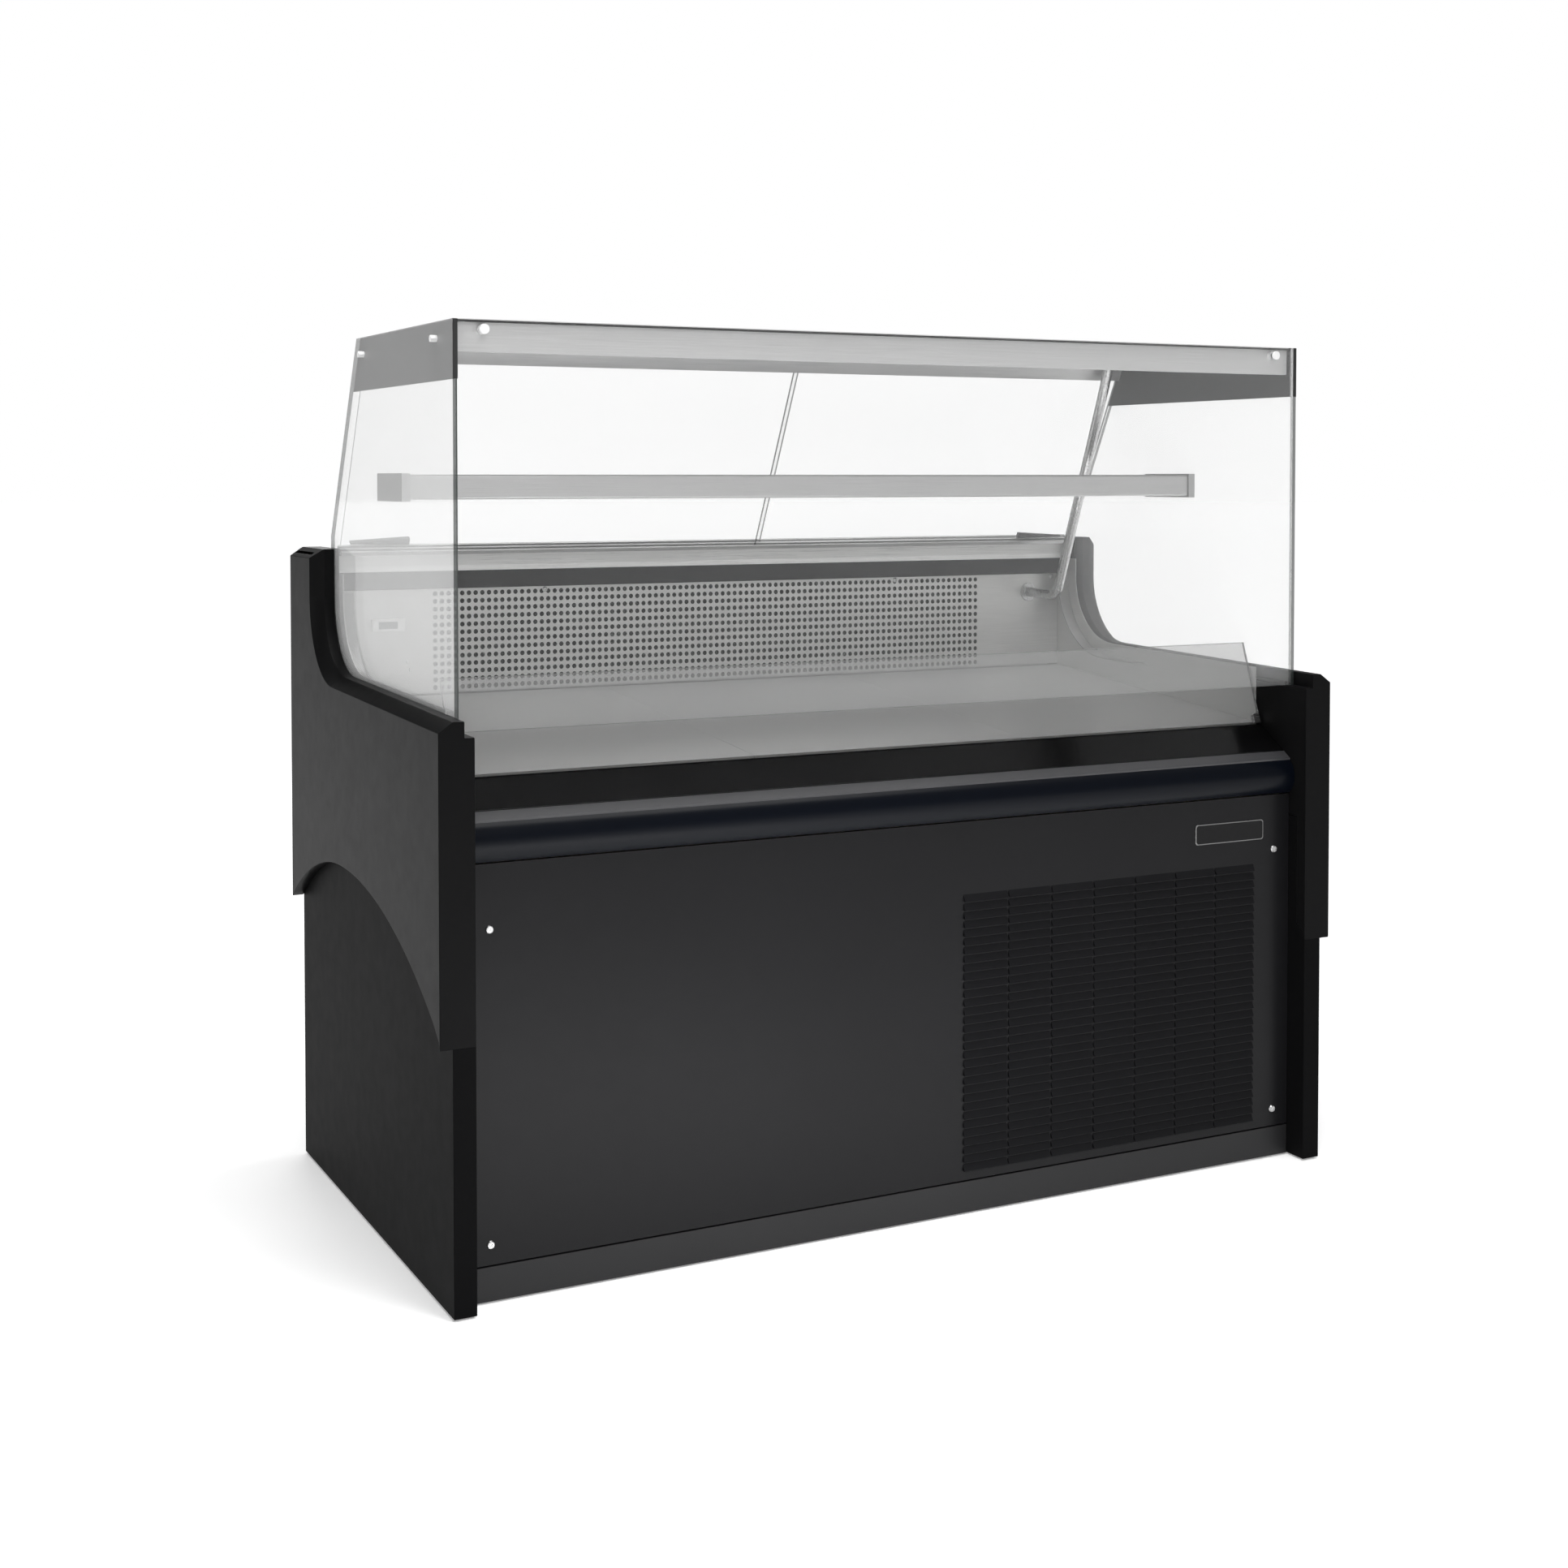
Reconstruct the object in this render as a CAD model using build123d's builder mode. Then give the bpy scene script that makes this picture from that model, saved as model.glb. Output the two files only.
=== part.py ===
"""Refrigerated deli case: serve-over glass counter with sliding rear panes, at full size in millimetres.

+X is the customer's right, +Y points to the service side, +Z is up. The origin is the centre of the footprint
on the floor. Side outlines are drawn as (depth behind the front face, height above the floor).
"""
import math
import os

from build123d import *

# --- driving dimensions -------------------------------------------------------------------------------------
DEPTH = 780
HEIGHT = 1320
FRONT = -DEPTH / 2
INNER = 700                     # half the clear width between the side walls
BASE_SKIN = 732                 # outer face of the lower side panels
WALL_SKIN = 750                 # outer face of the upper side walls
SHEET = 1.2
GLASS = 6
GAP = 1.5                       # shadow gap beside the front panels
GROUND_GAP = 3

PANEL_D = 39                    # front panel's face, behind the side walls' front edges
KICK_TOP = 50
PANEL_Z = (52.5, 594.5)
BUMPER_Z = (597, 650)
BUMPER_PROUD = 12
APRON_FOOT = (52.8, 663)        # the sloped apron, from the bumper's lip to the deck's front edge
APRON_HEAD = (109.8, 701.1)

WALL_FOOT = 361                 # side wall's lowest point, at its front
WALL_NOSE = (4, 372)
RETURN_D = 20                   # depth of the wall's front return over the lower panel, and its foot there
RETURN_FOOT = 385
BASE_FLANGE_D = 58
BASE_TOP = 560
ARCH_APEX = (475, 525)
ARCH_FRONT_R = 815
ARCH_FRONT_D = 28
ARCH_REAR_R = 521
LEDGE_FRONT = 791.5             # side wall's upper edge at the front, and where it starts to bend up
LEDGE_BEND = (528, 804.8)
BEND_R = 118
POST_TOP = 997
REBATE_W = 14
REBATE_H = 22

GLASS_FRONT = 46
PANE_TOP_REAR = 510
PANE_FOOT_REAR = (669, 1008)
END_PLATE_Z = 1241

LINER_FRONT = 118
LINER_REAR = 736
LINER_FLOOR = (575, 560)        # front and rear height of the sloping tank floor
LINER_SIDE_D = 124
FOAM_FOOT = 520
DECK_FRONT = (113, 703)
DECK_REAR = (699, 753)
DECK_PANS = 3

AIR_PANEL_D = 702
AIR_PANEL_Z = (755.5, 927)
AIR_HOLE_R = 4
AIR_HOLE_START = (-531, 919)
AIR_HOLE_COUNT = (91, 13)
AIR_HOLE_PITCH = (11.61, 12.9)

WORKTOP_D = (684, 775)
WORKTOP_Z = (957, 985)

LOUVRE_X = (76.3, 625.5)
LOUVRE_COLUMNS = 7
LOUVRE_ROWS = 32
LOUVRE_PITCH = 13.15
LOUVRE_BLADE = 10.6
LOUVRE_TOP = 485
LOUVRE_LAND = 2.6               # solid strip between two columns
LOUVRE_LIP = 4.5                # how far a blade's lower edge stands out

BAR_D = (302, 421)
BAR_Z = (1078, 1114)
BAR_BOLTS_D = (330, 404)
BAR_BOLT_Z = 1097.5

DOOR_FOOT = (672, 991)          # foot and head of the sliding panes' plane
DOOR_HEAD = (520, 1291)
DOOR_TRACK_N = 5.5              # each track's distance from that plane
DOOR_GLASS = 5
DOOR_LENGTH = {"left": 746, "right": 660}
DOOR_OUTER = 696
DOOR_HEIGHT = 347
TRACK_N = 13
GRIP_X = (582, 679)             # nearer and farther end of a pane's wedge-shaped grip
GRIP_RISE = ((7, 18), (9, 11.5))
GRIP_DEPTH = {"left": 9, "right": 4.5}

FAN_X = (-300, 300)
FAN_D = 600
FAN_Z = 650
FAN_R = 60
SHAFT_R = 2
RUNNING_FIT = 0.05
CONDENSER_X = (140, 560)
CONDENSER_Z = (60, 400)
CONDENSER_FAN = (350, 232, 232) # x, depth, height of the hub
CONDENSER_FAN_R = 140

PANEL_BACK = 774                # lower rear panel's outer face
VENT_CENTRE = (350, 260)
VENT_PITCH = (84, 18)
VENT_COUNT = (5, 14)
GLAND = (620, 90)
CONTROL_Z = 462
CONTROLLER_X = -520
BUTTON_X = (-510, -500, -490)
ROCKER_X = (-420, -385)
ROCKER_TILT = 8


# --- helpers ------------------------------------------------------------------------------------------------
def side_plane(x):
    """Plane across the case at x, with local axes depth and height."""
    return Plane(origin=(x, FRONT, 0), x_dir=(0, 1, 0), z_dir=(1, 0, 0))


def block(x, d, z, mode=Mode.ADD):
    """Box between pairs of x, depth and height."""
    with Locations((sum(x) / 2, FRONT + sum(d) / 2, sum(z) / 2)):
        Box(abs(x[1] - x[0]), d[1] - d[0], z[1] - z[0], mode=mode)


def rod(centre, axis, radius, length, mode=Mode.ADD):
    """Cylinder centred at (x, depth, height) along the axis X, Y or Z."""
    turn = {"X": (0, 90, 0), "Y": (90, 0, 0), "Z": (0, 0, 0)}[axis]
    with Locations((centre[0], FRONT + centre[1], centre[2])):
        Cylinder(radius, length, rotation=turn, mode=mode)


def side_profile(points, x, mode=Mode.ADD):
    """Closed (depth, height) outline, extruded between the pair x."""
    with BuildSketch(side_plane(min(x))) as outline:
        with BuildLine():
            Polyline(*points, close=True)
        make_face()
    extrude(outline.sketch, amount=abs(x[1] - x[0]), mode=mode)


def folded_sheet(line, thickness=SHEET):
    """Outline of a folded sheet: a fold line and its mitred parallel on the left of the direction of travel."""
    normals = []
    for start, end in zip(line, line[1:]):
        run = math.dist(start, end)
        normals.append(((start[1] - end[1]) / run, (end[0] - start[0]) / run))
    shifted = []
    for index, point in enumerate(line):
        before = normals[max(index - 1, 0)]
        after = normals[min(index, len(normals) - 1)]
        mitre = (before[0] + after[0], before[1] + after[1])
        scale = 2 * thickness / (mitre[0] ** 2 + mitre[1] ** 2)
        shifted.append((point[0] + mitre[0] * scale, point[1] + mitre[1] * scale))
    return list(line) + shifted[::-1]


def wall_edge(inset, front, top):
    """Draws the side wall's upper edge, moved into the wall by inset, from depth front to height top."""
    lean = math.atan2(LEDGE_BEND[1] - LEDGE_FRONT, LEDGE_BEND[0])
    normal = (-math.sin(lean), math.cos(lean))
    centre = (LEDGE_BEND[0] + BEND_R * normal[0], LEDGE_BEND[1] + BEND_R * normal[1])
    bend = CenterArc(centre, BEND_R + inset, math.degrees(lean) - 90, 90 - math.degrees(lean))
    start = (front, (bend @ 0).Y - ((bend @ 0).X - front) * math.tan(lean))
    Line(start, bend @ 0)
    Line(bend @ 1, ((bend @ 1).X, top))
    return start, ((bend @ 1).X, top)


def save(builder, label):
    """Labels a finished piece and writes its STEP file."""
    builder.part.label = label
    export_step(builder.part, f"parts/{label}.step")


def side_span(side, inner, outer):
    """Pair of x between two distances from the middle, on the side -1 or +1."""
    return tuple(sorted((side * inner, side * outer)))


def door_plane(x):
    """Plane across the sliding panes: local x is the distance behind them, local y runs up the slope."""
    rise = (DOOR_HEAD[0] - DOOR_FOOT[0], DOOR_HEAD[1] - DOOR_FOOT[1])
    run = math.hypot(*rise)
    origin = (x, FRONT + DOOR_FOOT[0], DOOR_FOOT[1])
    return Plane(origin=origin, x_dir=(0, rise[1] / run, -rise[0] / run), z_dir=(1, 0, 0))


os.makedirs("parts", exist_ok=True)
SIDES = (("left", -1), ("right", 1))
FULL = (-INNER + GAP, INNER - GAP)
TIGHT = (-INNER + SHEET, INNER - SHEET)


# --- side walls ---------------------------------------------------------------------------------------------
def side_base(name, side):
    """Lower side panel: a sheet-metal pan, open towards the inside behind its front flange."""
    with BuildPart() as base:
        with BuildSketch(side_plane(min(side_span(side, INNER, BASE_SKIN)))):
            with BuildLine():
                Polyline((0, GROUND_GAP), (DEPTH - 2, GROUND_GAP), (DEPTH - 2, BASE_TOP), (RETURN_D, BASE_TOP),
                         (RETURN_D, RETURN_FOOT), WALL_NOSE, (0, WALL_FOOT), close=True)
            make_face()
        extrude(amount=BASE_SKIN - INNER)
        inner_face = base.faces().sort_by(Axis.X)[0 if side > 0 else -1]
        offset(amount=-SHEET, openings=inner_face)
        side_profile([(0, GROUND_GAP), (BASE_FLANGE_D, GROUND_GAP), (BASE_FLANGE_D, BASE_TOP), (RETURN_D, BASE_TOP),
                      (RETURN_D, RETURN_FOOT), WALL_NOSE, (0, WALL_FOOT)], side_span(side, INNER, INNER + SHEET))
    save(base, f"side_base_{name}")


def side_wall(name, side):
    """Upper side wall: a hollow moulding with an arched foot, a glass rebate and a rear post."""
    with BuildPart() as wall:
        with BuildSketch(side_plane(min(side_span(side, INNER, WALL_SKIN)))):
            with BuildLine():
                start, post = wall_edge(0, 0, POST_TOP)
                rear_drop = DEPTH - ARCH_APEX[0]
                rear_foot = ARCH_APEX[1] - ARCH_REAR_R + math.sqrt(ARCH_REAR_R ** 2 - rear_drop ** 2)
                front_run = ARCH_APEX[0] - ARCH_FRONT_D
                front_foot = ARCH_APEX[1] - ARCH_FRONT_R + math.sqrt(ARCH_FRONT_R ** 2 - front_run ** 2)
                Polyline(post, (DEPTH, POST_TOP), (DEPTH, rear_foot))
                RadiusArc((DEPTH, rear_foot), ARCH_APEX, -ARCH_REAR_R)
                RadiusArc(ARCH_APEX, (ARCH_FRONT_D, front_foot), -ARCH_FRONT_R)
                Polyline((ARCH_FRONT_D, front_foot), WALL_NOSE, (0, WALL_FOOT), start)
            make_face()
        extrude(amount=WALL_SKIN - INNER)
        outer_face = wall.faces().sort_by(Axis.X)[-1 if side > 0 else 0]
        upper_edges = outer_face.edges().filter_by(lambda edge: edge.center().Z > 780)
        chamfer(upper_edges, length=14, length2=20, reference=outer_face)
        block(side_span(side, INNER - 1, BASE_SKIN), (RETURN_D, DEPTH + 1), (WALL_FOOT - 1, BASE_TOP), Mode.SUBTRACT)
        block(side_span(side, INNER - 1, BASE_SKIN), (DEPTH - 2, DEPTH + 1), (BASE_TOP, POST_TOP), Mode.SUBTRACT)
        with BuildSketch(side_plane(min(side_span(side, INNER, INNER + REBATE_W)))) as rebate:
            with BuildLine():
                start, post = wall_edge(REBATE_H, -1, POST_TOP + 1)
                Polyline(post, (-1, POST_TOP + 1), start)
            make_face()
        extrude(amount=REBATE_W, mode=Mode.SUBTRACT)
        with BuildSketch(side_plane(min(side_span(side, INNER, WALL_SKIN - 7)))) as hollow:
            with BuildLine():
                start, post = wall_edge(REBATE_H + 6, LINER_SIDE_D + 8, POST_TOP - 6)
                Polyline(post, (DEPTH - 8, POST_TOP - 6), (DEPTH - 8, BASE_TOP + 6),
                         (LINER_SIDE_D + 8, BASE_TOP + 6), start)
            make_face()
        extrude(amount=WALL_SKIN - 7 - INNER, mode=Mode.SUBTRACT)
    save(wall, f"side_wall_{name}")


def side_glass(name, side):
    """Side pane, standing in the wall's rebate, with a leaning rear edge."""
    span = side_span(side, INNER + 7, INNER + 7 + GLASS)
    with BuildPart() as pane:
        with BuildSketch(side_plane(span[0])):
            with BuildLine():
                lean = (PANE_FOOT_REAR[0] - PANE_TOP_REAR) / (HEIGHT - PANE_FOOT_REAR[1])
                start, post = wall_edge(REBATE_H - 0.2, GLASS_FRONT, PANE_FOOT_REAR[1])
                shoulder = (post[0], HEIGHT - (post[0] - PANE_TOP_REAR) / lean)
                Polyline(post, shoulder, (PANE_TOP_REAR, HEIGHT), (GLASS_FRONT, HEIGHT), start)
            make_face()
        extrude(amount=GLASS)
    save(pane, f"side_glass_{name}")


for side_name, side_sign in SIDES:
    side_base(side_name, side_sign)
    side_wall(side_name, side_sign)
    side_glass(side_name, side_sign)

with BuildPart() as liner_sides:
    for _, side_sign in SIDES:
        with BuildSketch(side_plane(min(side_span(side_sign, INNER - SHEET, INNER)))):
            with BuildLine():
                start, post = wall_edge(0, LINER_SIDE_D, WORKTOP_Z[0])
                Polyline(post, (LINER_REAR, WORKTOP_Z[0]), (LINER_REAR, LINER_FLOOR[1]),
                         (LINER_SIDE_D, LINER_FLOOR[0]), start)
            make_face()
        extrude(amount=SHEET)
save(liner_sides, "liner_sides")

with BuildPart() as end_plates:
    pane_lean = (PANE_FOOT_REAR[0] - PANE_TOP_REAR) / (HEIGHT - PANE_FOOT_REAR[1])
    for _, side_sign in SIDES:
        side_profile([(GLASS_FRONT + GLASS, END_PLATE_Z), (GLASS_FRONT + GLASS, HEIGHT), (PANE_TOP_REAR, HEIGHT),
                      (PANE_TOP_REAR + pane_lean * (HEIGHT - END_PLATE_Z), END_PLATE_Z)],
                     side_span(side_sign, INNER + 4, INNER + 7))
save(end_plates, "end_plates")


# --- base and front -----------------------------------------------------------------------------------------
FEET_X = (-640, 0, 640)
FEET_D = (82, 702)
FRAME_Z = (22, 50)

with BuildPart() as base_frame:
    for rail_d in FEET_D:
        block((-INNER + 2, INNER - 2), (rail_d - 14, rail_d + 14), FRAME_Z)
    for beam_x in FEET_X:
        block((beam_x - 14, beam_x + 14), FEET_D, FRAME_Z)
    for rail_d in FEET_D:
        block((-INNER, INNER), (rail_d - 12, rail_d + 12), (FRAME_Z[0] + 2, FRAME_Z[1] - 2), Mode.SUBTRACT)
save(base_frame, "base_frame")

with BuildPart() as levelling_feet:
    for foot_x in FEET_X:
        for foot_d in FEET_D:
            rod((foot_x, foot_d, 5), "Z", 22, 10)
            rod((foot_x, foot_d, 16), "Z", 6, 12)
save(levelling_feet, "levelling_feet")

with BuildPart() as kickplate:
    side_profile(folded_sheet([(PANEL_D + 14, KICK_TOP), (PANEL_D, KICK_TOP), (PANEL_D, GROUND_GAP),
                               (PANEL_D + 14, GROUND_GAP)]), FULL)
save(kickplate, "kickplate")

SCREWS_X = (-668, 668)
SCREWS_Z = (80, 506)
COLUMN = (LOUVRE_X[1] - LOUVRE_X[0]) / LOUVRE_COLUMNS
PANEL_SHEET = 1.5

with BuildPart() as front_panel:
    side_profile(folded_sheet([(PANEL_D + 14, PANEL_Z[1]), (PANEL_D, PANEL_Z[1]), (PANEL_D, PANEL_Z[0]),
                               (PANEL_D + 14, PANEL_Z[0])], PANEL_SHEET), FULL)
    grille_z = (LOUVRE_TOP - LOUVRE_ROWS * LOUVRE_PITCH + LOUVRE_PITCH - LOUVRE_BLADE, LOUVRE_TOP)
    block(LOUVRE_X, (PANEL_D - 1, PANEL_D + PANEL_SHEET + 1), grille_z, Mode.SUBTRACT)
    with BuildSketch(side_plane(LOUVRE_X[0])) as blades:
        for row in range(LOUVRE_ROWS):
            blade_top = LOUVRE_TOP - row * LOUVRE_PITCH
            land_top = blade_top + LOUVRE_PITCH - LOUVRE_BLADE
            with BuildLine():
                Polyline(*folded_sheet([(PANEL_D, land_top), (PANEL_D, blade_top),
                                        (PANEL_D - LOUVRE_LIP, blade_top - LOUVRE_BLADE)], PANEL_SHEET), close=True)
            make_face()
    extrude(blades.sketch, amount=LOUVRE_X[1] - LOUVRE_X[0])
    land_places = [(LOUVRE_X[0] + column * COLUMN, 0, sum(grille_z) / 2) for column in range(1, LOUVRE_COLUMNS)]
    grille_h = grille_z[1] - grille_z[0]
    with Locations((0, FRONT + PANEL_D - 5, 0)):
        with Locations(*land_places):
            Box(LOUVRE_LAND, 10, grille_h + 1, mode=Mode.SUBTRACT)
    with Locations((0, FRONT + PANEL_D + PANEL_SHEET / 2, 0)):
        with Locations(*land_places):
            Box(LOUVRE_LAND, PANEL_SHEET, grille_h)
    for screw_x in SCREWS_X:
        for screw_z in SCREWS_Z:
            rod((screw_x, PANEL_D, screw_z), "Y", 2.6, 10, Mode.SUBTRACT)
save(front_panel, "front_panel")

with BuildPart() as panel_screws:
    for screw_x in SCREWS_X:
        for screw_z in SCREWS_Z:
            with Locations((screw_x, FRONT + PANEL_D, screw_z)):
                Cone(5.8, 4.6, 2.2, rotation=(90, 0, 0), align=(Align.CENTER, Align.CENTER, Align.MIN))
            rod((screw_x, PANEL_D - 2, screw_z), "Y", 4, 1.6, Mode.SUBTRACT)
            rod((screw_x, PANEL_D + 7, screw_z), "Y", 2, 18)
            rod((screw_x, PANEL_D - 1.6, screw_z), "Y", 3.6, 1.6)
            for turn in (45, 135):
                with Locations((screw_x, FRONT + PANEL_D - 2.4, screw_z)):
                    Box(4.4, 1.6, 0.9, rotation=(0, turn, 0), mode=Mode.SUBTRACT)
save(panel_screws, "panel_screws")

with BuildPart() as badge_plate:
    with BuildSketch(Plane(origin=(576.8, FRONT + PANEL_D, 540.3), x_dir=(1, 0, 0), z_dir=(0, -1, 0))):
        RectangleRounded(136.5, 33, 5)
    extrude(amount=1.4)
    front_rim = badge_plate.faces().sort_by(Axis.Y)[0].edges()
    chamfer(front_rim, 0.5)
save(badge_plate, "badge_plate")

with BuildPart() as bumper_rail:
    with BuildSketch(side_plane(-INNER + 1)):
        with BuildLine():
            half = (BUMPER_Z[1] - BUMPER_Z[0]) / 2
            mid_z = sum(BUMPER_Z) / 2
            face = PANEL_D - 1.5
            Line((face, BUMPER_Z[0]), (face, BUMPER_Z[1]))
            ThreePointArc((face, BUMPER_Z[0]), (face - BUMPER_PROUD, mid_z), (face, BUMPER_Z[1]))
        make_face()
    extrude(amount=2 * INNER - 2)
save(bumper_rail, "bumper_rail")

with BuildPart() as bumper_carrier:
    lip_slope = (APRON_HEAD[1] - APRON_FOOT[1]) / (APRON_HEAD[0] - APRON_FOOT[0])
    lip_front = (PANEL_D - 1.5, APRON_FOOT[1] - lip_slope * (APRON_FOOT[0] - PANEL_D + 1.5))
    side_profile(folded_sheet([APRON_FOOT, lip_front, (PANEL_D - 1.5, BUMPER_Z[0]), (56, BUMPER_Z[0])], 1.5),
                 (-INNER + 0.5, INNER - 0.5))
save(bumper_carrier, "bumper_carrier")

with BuildPart() as front_apron:
    side_profile(folded_sheet([(APRON_HEAD[0], APRON_HEAD[1] - 12), APRON_HEAD,
                               (APRON_FOOT[0] + 1.5, APRON_FOOT[1] + 1), (APRON_FOOT[0] + 1.5, 640)]),
                 (-INNER + 0.5, INNER - 0.5))
save(front_apron, "front_apron")


# --- tank, deck and service side ----------------------------------------------------------------------------
PIPE_X = (-430, -400)
PIPE_D = 300
DRAIN = (0, 705)
foam_inner = LINER_FRONT - SHEET

with BuildPart() as tank_insulation:
    side_profile([(60, 655), (107, 688), (foam_inner - 3, 688), (foam_inner - 3, LINER_FLOOR[0] - 6),
                  (LINER_REAR + 4, LINER_FLOOR[1] - 6), (LINER_REAR + 4, 954), (772, 954), (772, FOAM_FOOT),
                  (60, FOAM_FOOT)], (-INNER + 2, INNER - 2))
    for pipe_x in PIPE_X:
        rod((pipe_x, PIPE_D, 545), "Z", 9, 100, Mode.SUBTRACT)
    rod((*DRAIN, 545), "Z", 14, 100, Mode.SUBTRACT)
save(tank_insulation, "tank_insulation")

with BuildPart() as tank_liner:
    side_profile(folded_sheet([(LINER_FRONT - 4, 696), (LINER_FRONT, 696), (LINER_FRONT, LINER_FLOOR[0]),
                               (LINER_REAR, LINER_FLOOR[1]), (LINER_REAR, WORKTOP_Z[0])][::-1]), TIGHT)
    for pipe_x in PIPE_X:
        rod((pipe_x, PIPE_D, 570), "Z", 9, 30, Mode.SUBTRACT)
    rod((*DRAIN, 530), "Z", 12, 62)
    rod((*DRAIN, 535), "Z", 10.8, 90, Mode.SUBTRACT)
save(tank_liner, "tank_liner")

pan_pitch = (TIGHT[1] - TIGHT[0]) / DECK_PANS
for number in range(DECK_PANS):
    pan_left = TIGHT[0] + number * pan_pitch
    with BuildPart() as deck_pan:
        side_profile(folded_sheet([(DECK_FRONT[0] + 8, DECK_FRONT[1] - 18), (DECK_FRONT[0] + 8, DECK_FRONT[1] + 0.5),
                                   (DECK_REAR[0], DECK_REAR[1]), (DECK_REAR[0], DECK_REAR[1] - 18)][::-1], 1),
                     (pan_left + 0.4, pan_left + pan_pitch - 0.4))
    save(deck_pan, f"deck_pan_{number + 1}")

with BuildPart() as rear_air_panel:
    air_face = Plane(origin=(0, FRONT + AIR_PANEL_D + SHEET, sum(AIR_PANEL_Z) / 2), x_dir=(1, 0, 0), z_dir=(0, -1, 0))
    with BuildSketch(air_face) as perforated:
        sheet_edge = Rectangle(TIGHT[1] - TIGHT[0] - 1, AIR_PANEL_Z[1] - AIR_PANEL_Z[0], mode=Mode.PRIVATE)
        spread = [(count - 1) * pitch for count, pitch in zip(AIR_HOLE_COUNT, AIR_HOLE_PITCH)]
        grid_centre = (AIR_HOLE_START[0] + spread[0] / 2, AIR_HOLE_START[1] - spread[1] / 2 - sum(AIR_PANEL_Z) / 2)
        with Locations(grid_centre):
            with GridLocations(*AIR_HOLE_PITCH, *AIR_HOLE_COUNT) as hole_grid:
                holes = [Wire.make_circle(AIR_HOLE_R, Plane(place)) for place in hole_grid.local_locations]
        add(Face(sheet_edge.face().outer_wire(), holes))
    extrude(amount=SHEET)
save(rear_air_panel, "rear_air_panel")

with BuildPart() as worktop_nose:
    side_profile([(AIR_PANEL_D - 8, AIR_PANEL_Z[1] + 0.5), (LINER_REAR - 1, AIR_PANEL_Z[1] + 0.5),
                  (LINER_REAR - 1, WORKTOP_Z[0] - 0.3), (AIR_PANEL_D - 8, WORKTOP_Z[0] - 0.3)], TIGHT)
save(worktop_nose, "worktop_nose")

with BuildPart() as worktop:
    side_profile(folded_sheet([(WORKTOP_D[0] + 14, WORKTOP_Z[0]), (WORKTOP_D[0], WORKTOP_Z[0]),
                               (WORKTOP_D[0], WORKTOP_Z[0] + 9), (WORKTOP_D[0] + 3, WORKTOP_Z[1]),
                               (WORKTOP_D[1], WORKTOP_Z[1]), (WORKTOP_D[1], WORKTOP_Z[0]),
                               (WORKTOP_D[1] - 14, WORKTOP_Z[0])][::-1]), (-INNER, INNER))
save(worktop, "worktop")

with BuildPart() as thermometer:
    block((-638, -584), (AIR_PANEL_D - 7, AIR_PANEL_D), (860, 880))
    fillet(thermometer.edges().filter_by(Axis.Y), 2)
    block((-628, -596), (AIR_PANEL_D - 8, AIR_PANEL_D - 6), (863.5, 875.5), Mode.SUBTRACT)
save(thermometer, "thermometer")

with BuildPart() as rear_panels:
    side_profile(folded_sheet([(772, WORKTOP_Z[0] - 3), (772, FOAM_FOOT - 2), (760, FOAM_FOOT - 2)]), FULL)
    side_profile(folded_sheet([(760, FOAM_FOOT - 5), (PANEL_BACK, FOAM_FOOT - 5), (PANEL_BACK, 55),
                               (760, 55)][::-1]), FULL)
    with BuildSketch(Plane(origin=(VENT_CENTRE[0], FRONT + PANEL_BACK + 2, VENT_CENTRE[1]), x_dir=(1, 0, 0),
                           z_dir=(0, -1, 0))) as cut_outs:
        with GridLocations(*VENT_PITCH, *VENT_COUNT):
            SlotOverall(VENT_PITCH[0] - 14, 6)
    extrude(cut_outs.sketch, amount=6, mode=Mode.SUBTRACT)
    block((CONTROLLER_X - 36, CONTROLLER_X + 36), (765, 780), (CONTROL_Z - 15, CONTROL_Z + 15), Mode.SUBTRACT)
    for rocker_x in ROCKER_X:
        block((rocker_x - 11, rocker_x + 11), (765, 780), (CONTROL_Z - 13, CONTROL_Z + 13), Mode.SUBTRACT)
    rod((GLAND[0], PANEL_BACK, GLAND[1]), "Y", 8, 20, Mode.SUBTRACT)
save(rear_panels, "rear_panels")

with BuildPart() as controller:
    block((CONTROLLER_X - 35.5, CONTROLLER_X + 35.5), (715, PANEL_BACK), (CONTROL_Z - 14.5, CONTROL_Z + 14.5))
    block((CONTROLLER_X - 39, CONTROLLER_X + 47), (PANEL_BACK, PANEL_BACK + 3.4), (CONTROL_Z - 17, CONTROL_Z + 17))
    block((CONTROLLER_X - 35, CONTROLLER_X + 4), (PANEL_BACK + 2.6, PANEL_BACK + 4), (CONTROL_Z - 10, CONTROL_Z + 12),
          Mode.SUBTRACT)
    for button_x in BUTTON_X:
        block((button_x - 4.1, button_x + 4.1), (PANEL_BACK - 2, PANEL_BACK + 4), (CONTROL_Z - 7.1, CONTROL_Z + 7.1),
              Mode.SUBTRACT)
save(controller, "controller")

for number, button_x in enumerate(BUTTON_X, 1):
    with BuildPart() as button:
        block((button_x - 3.7, button_x + 3.7), (PANEL_BACK - 0.6, PANEL_BACK + 4.2), (CONTROL_Z - 6.7, CONTROL_Z + 6.7))
        fillet(button.faces().sort_by(Axis.Y)[-1].edges(), 0.6)
    save(button, f"controller_button_{number}")

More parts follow.
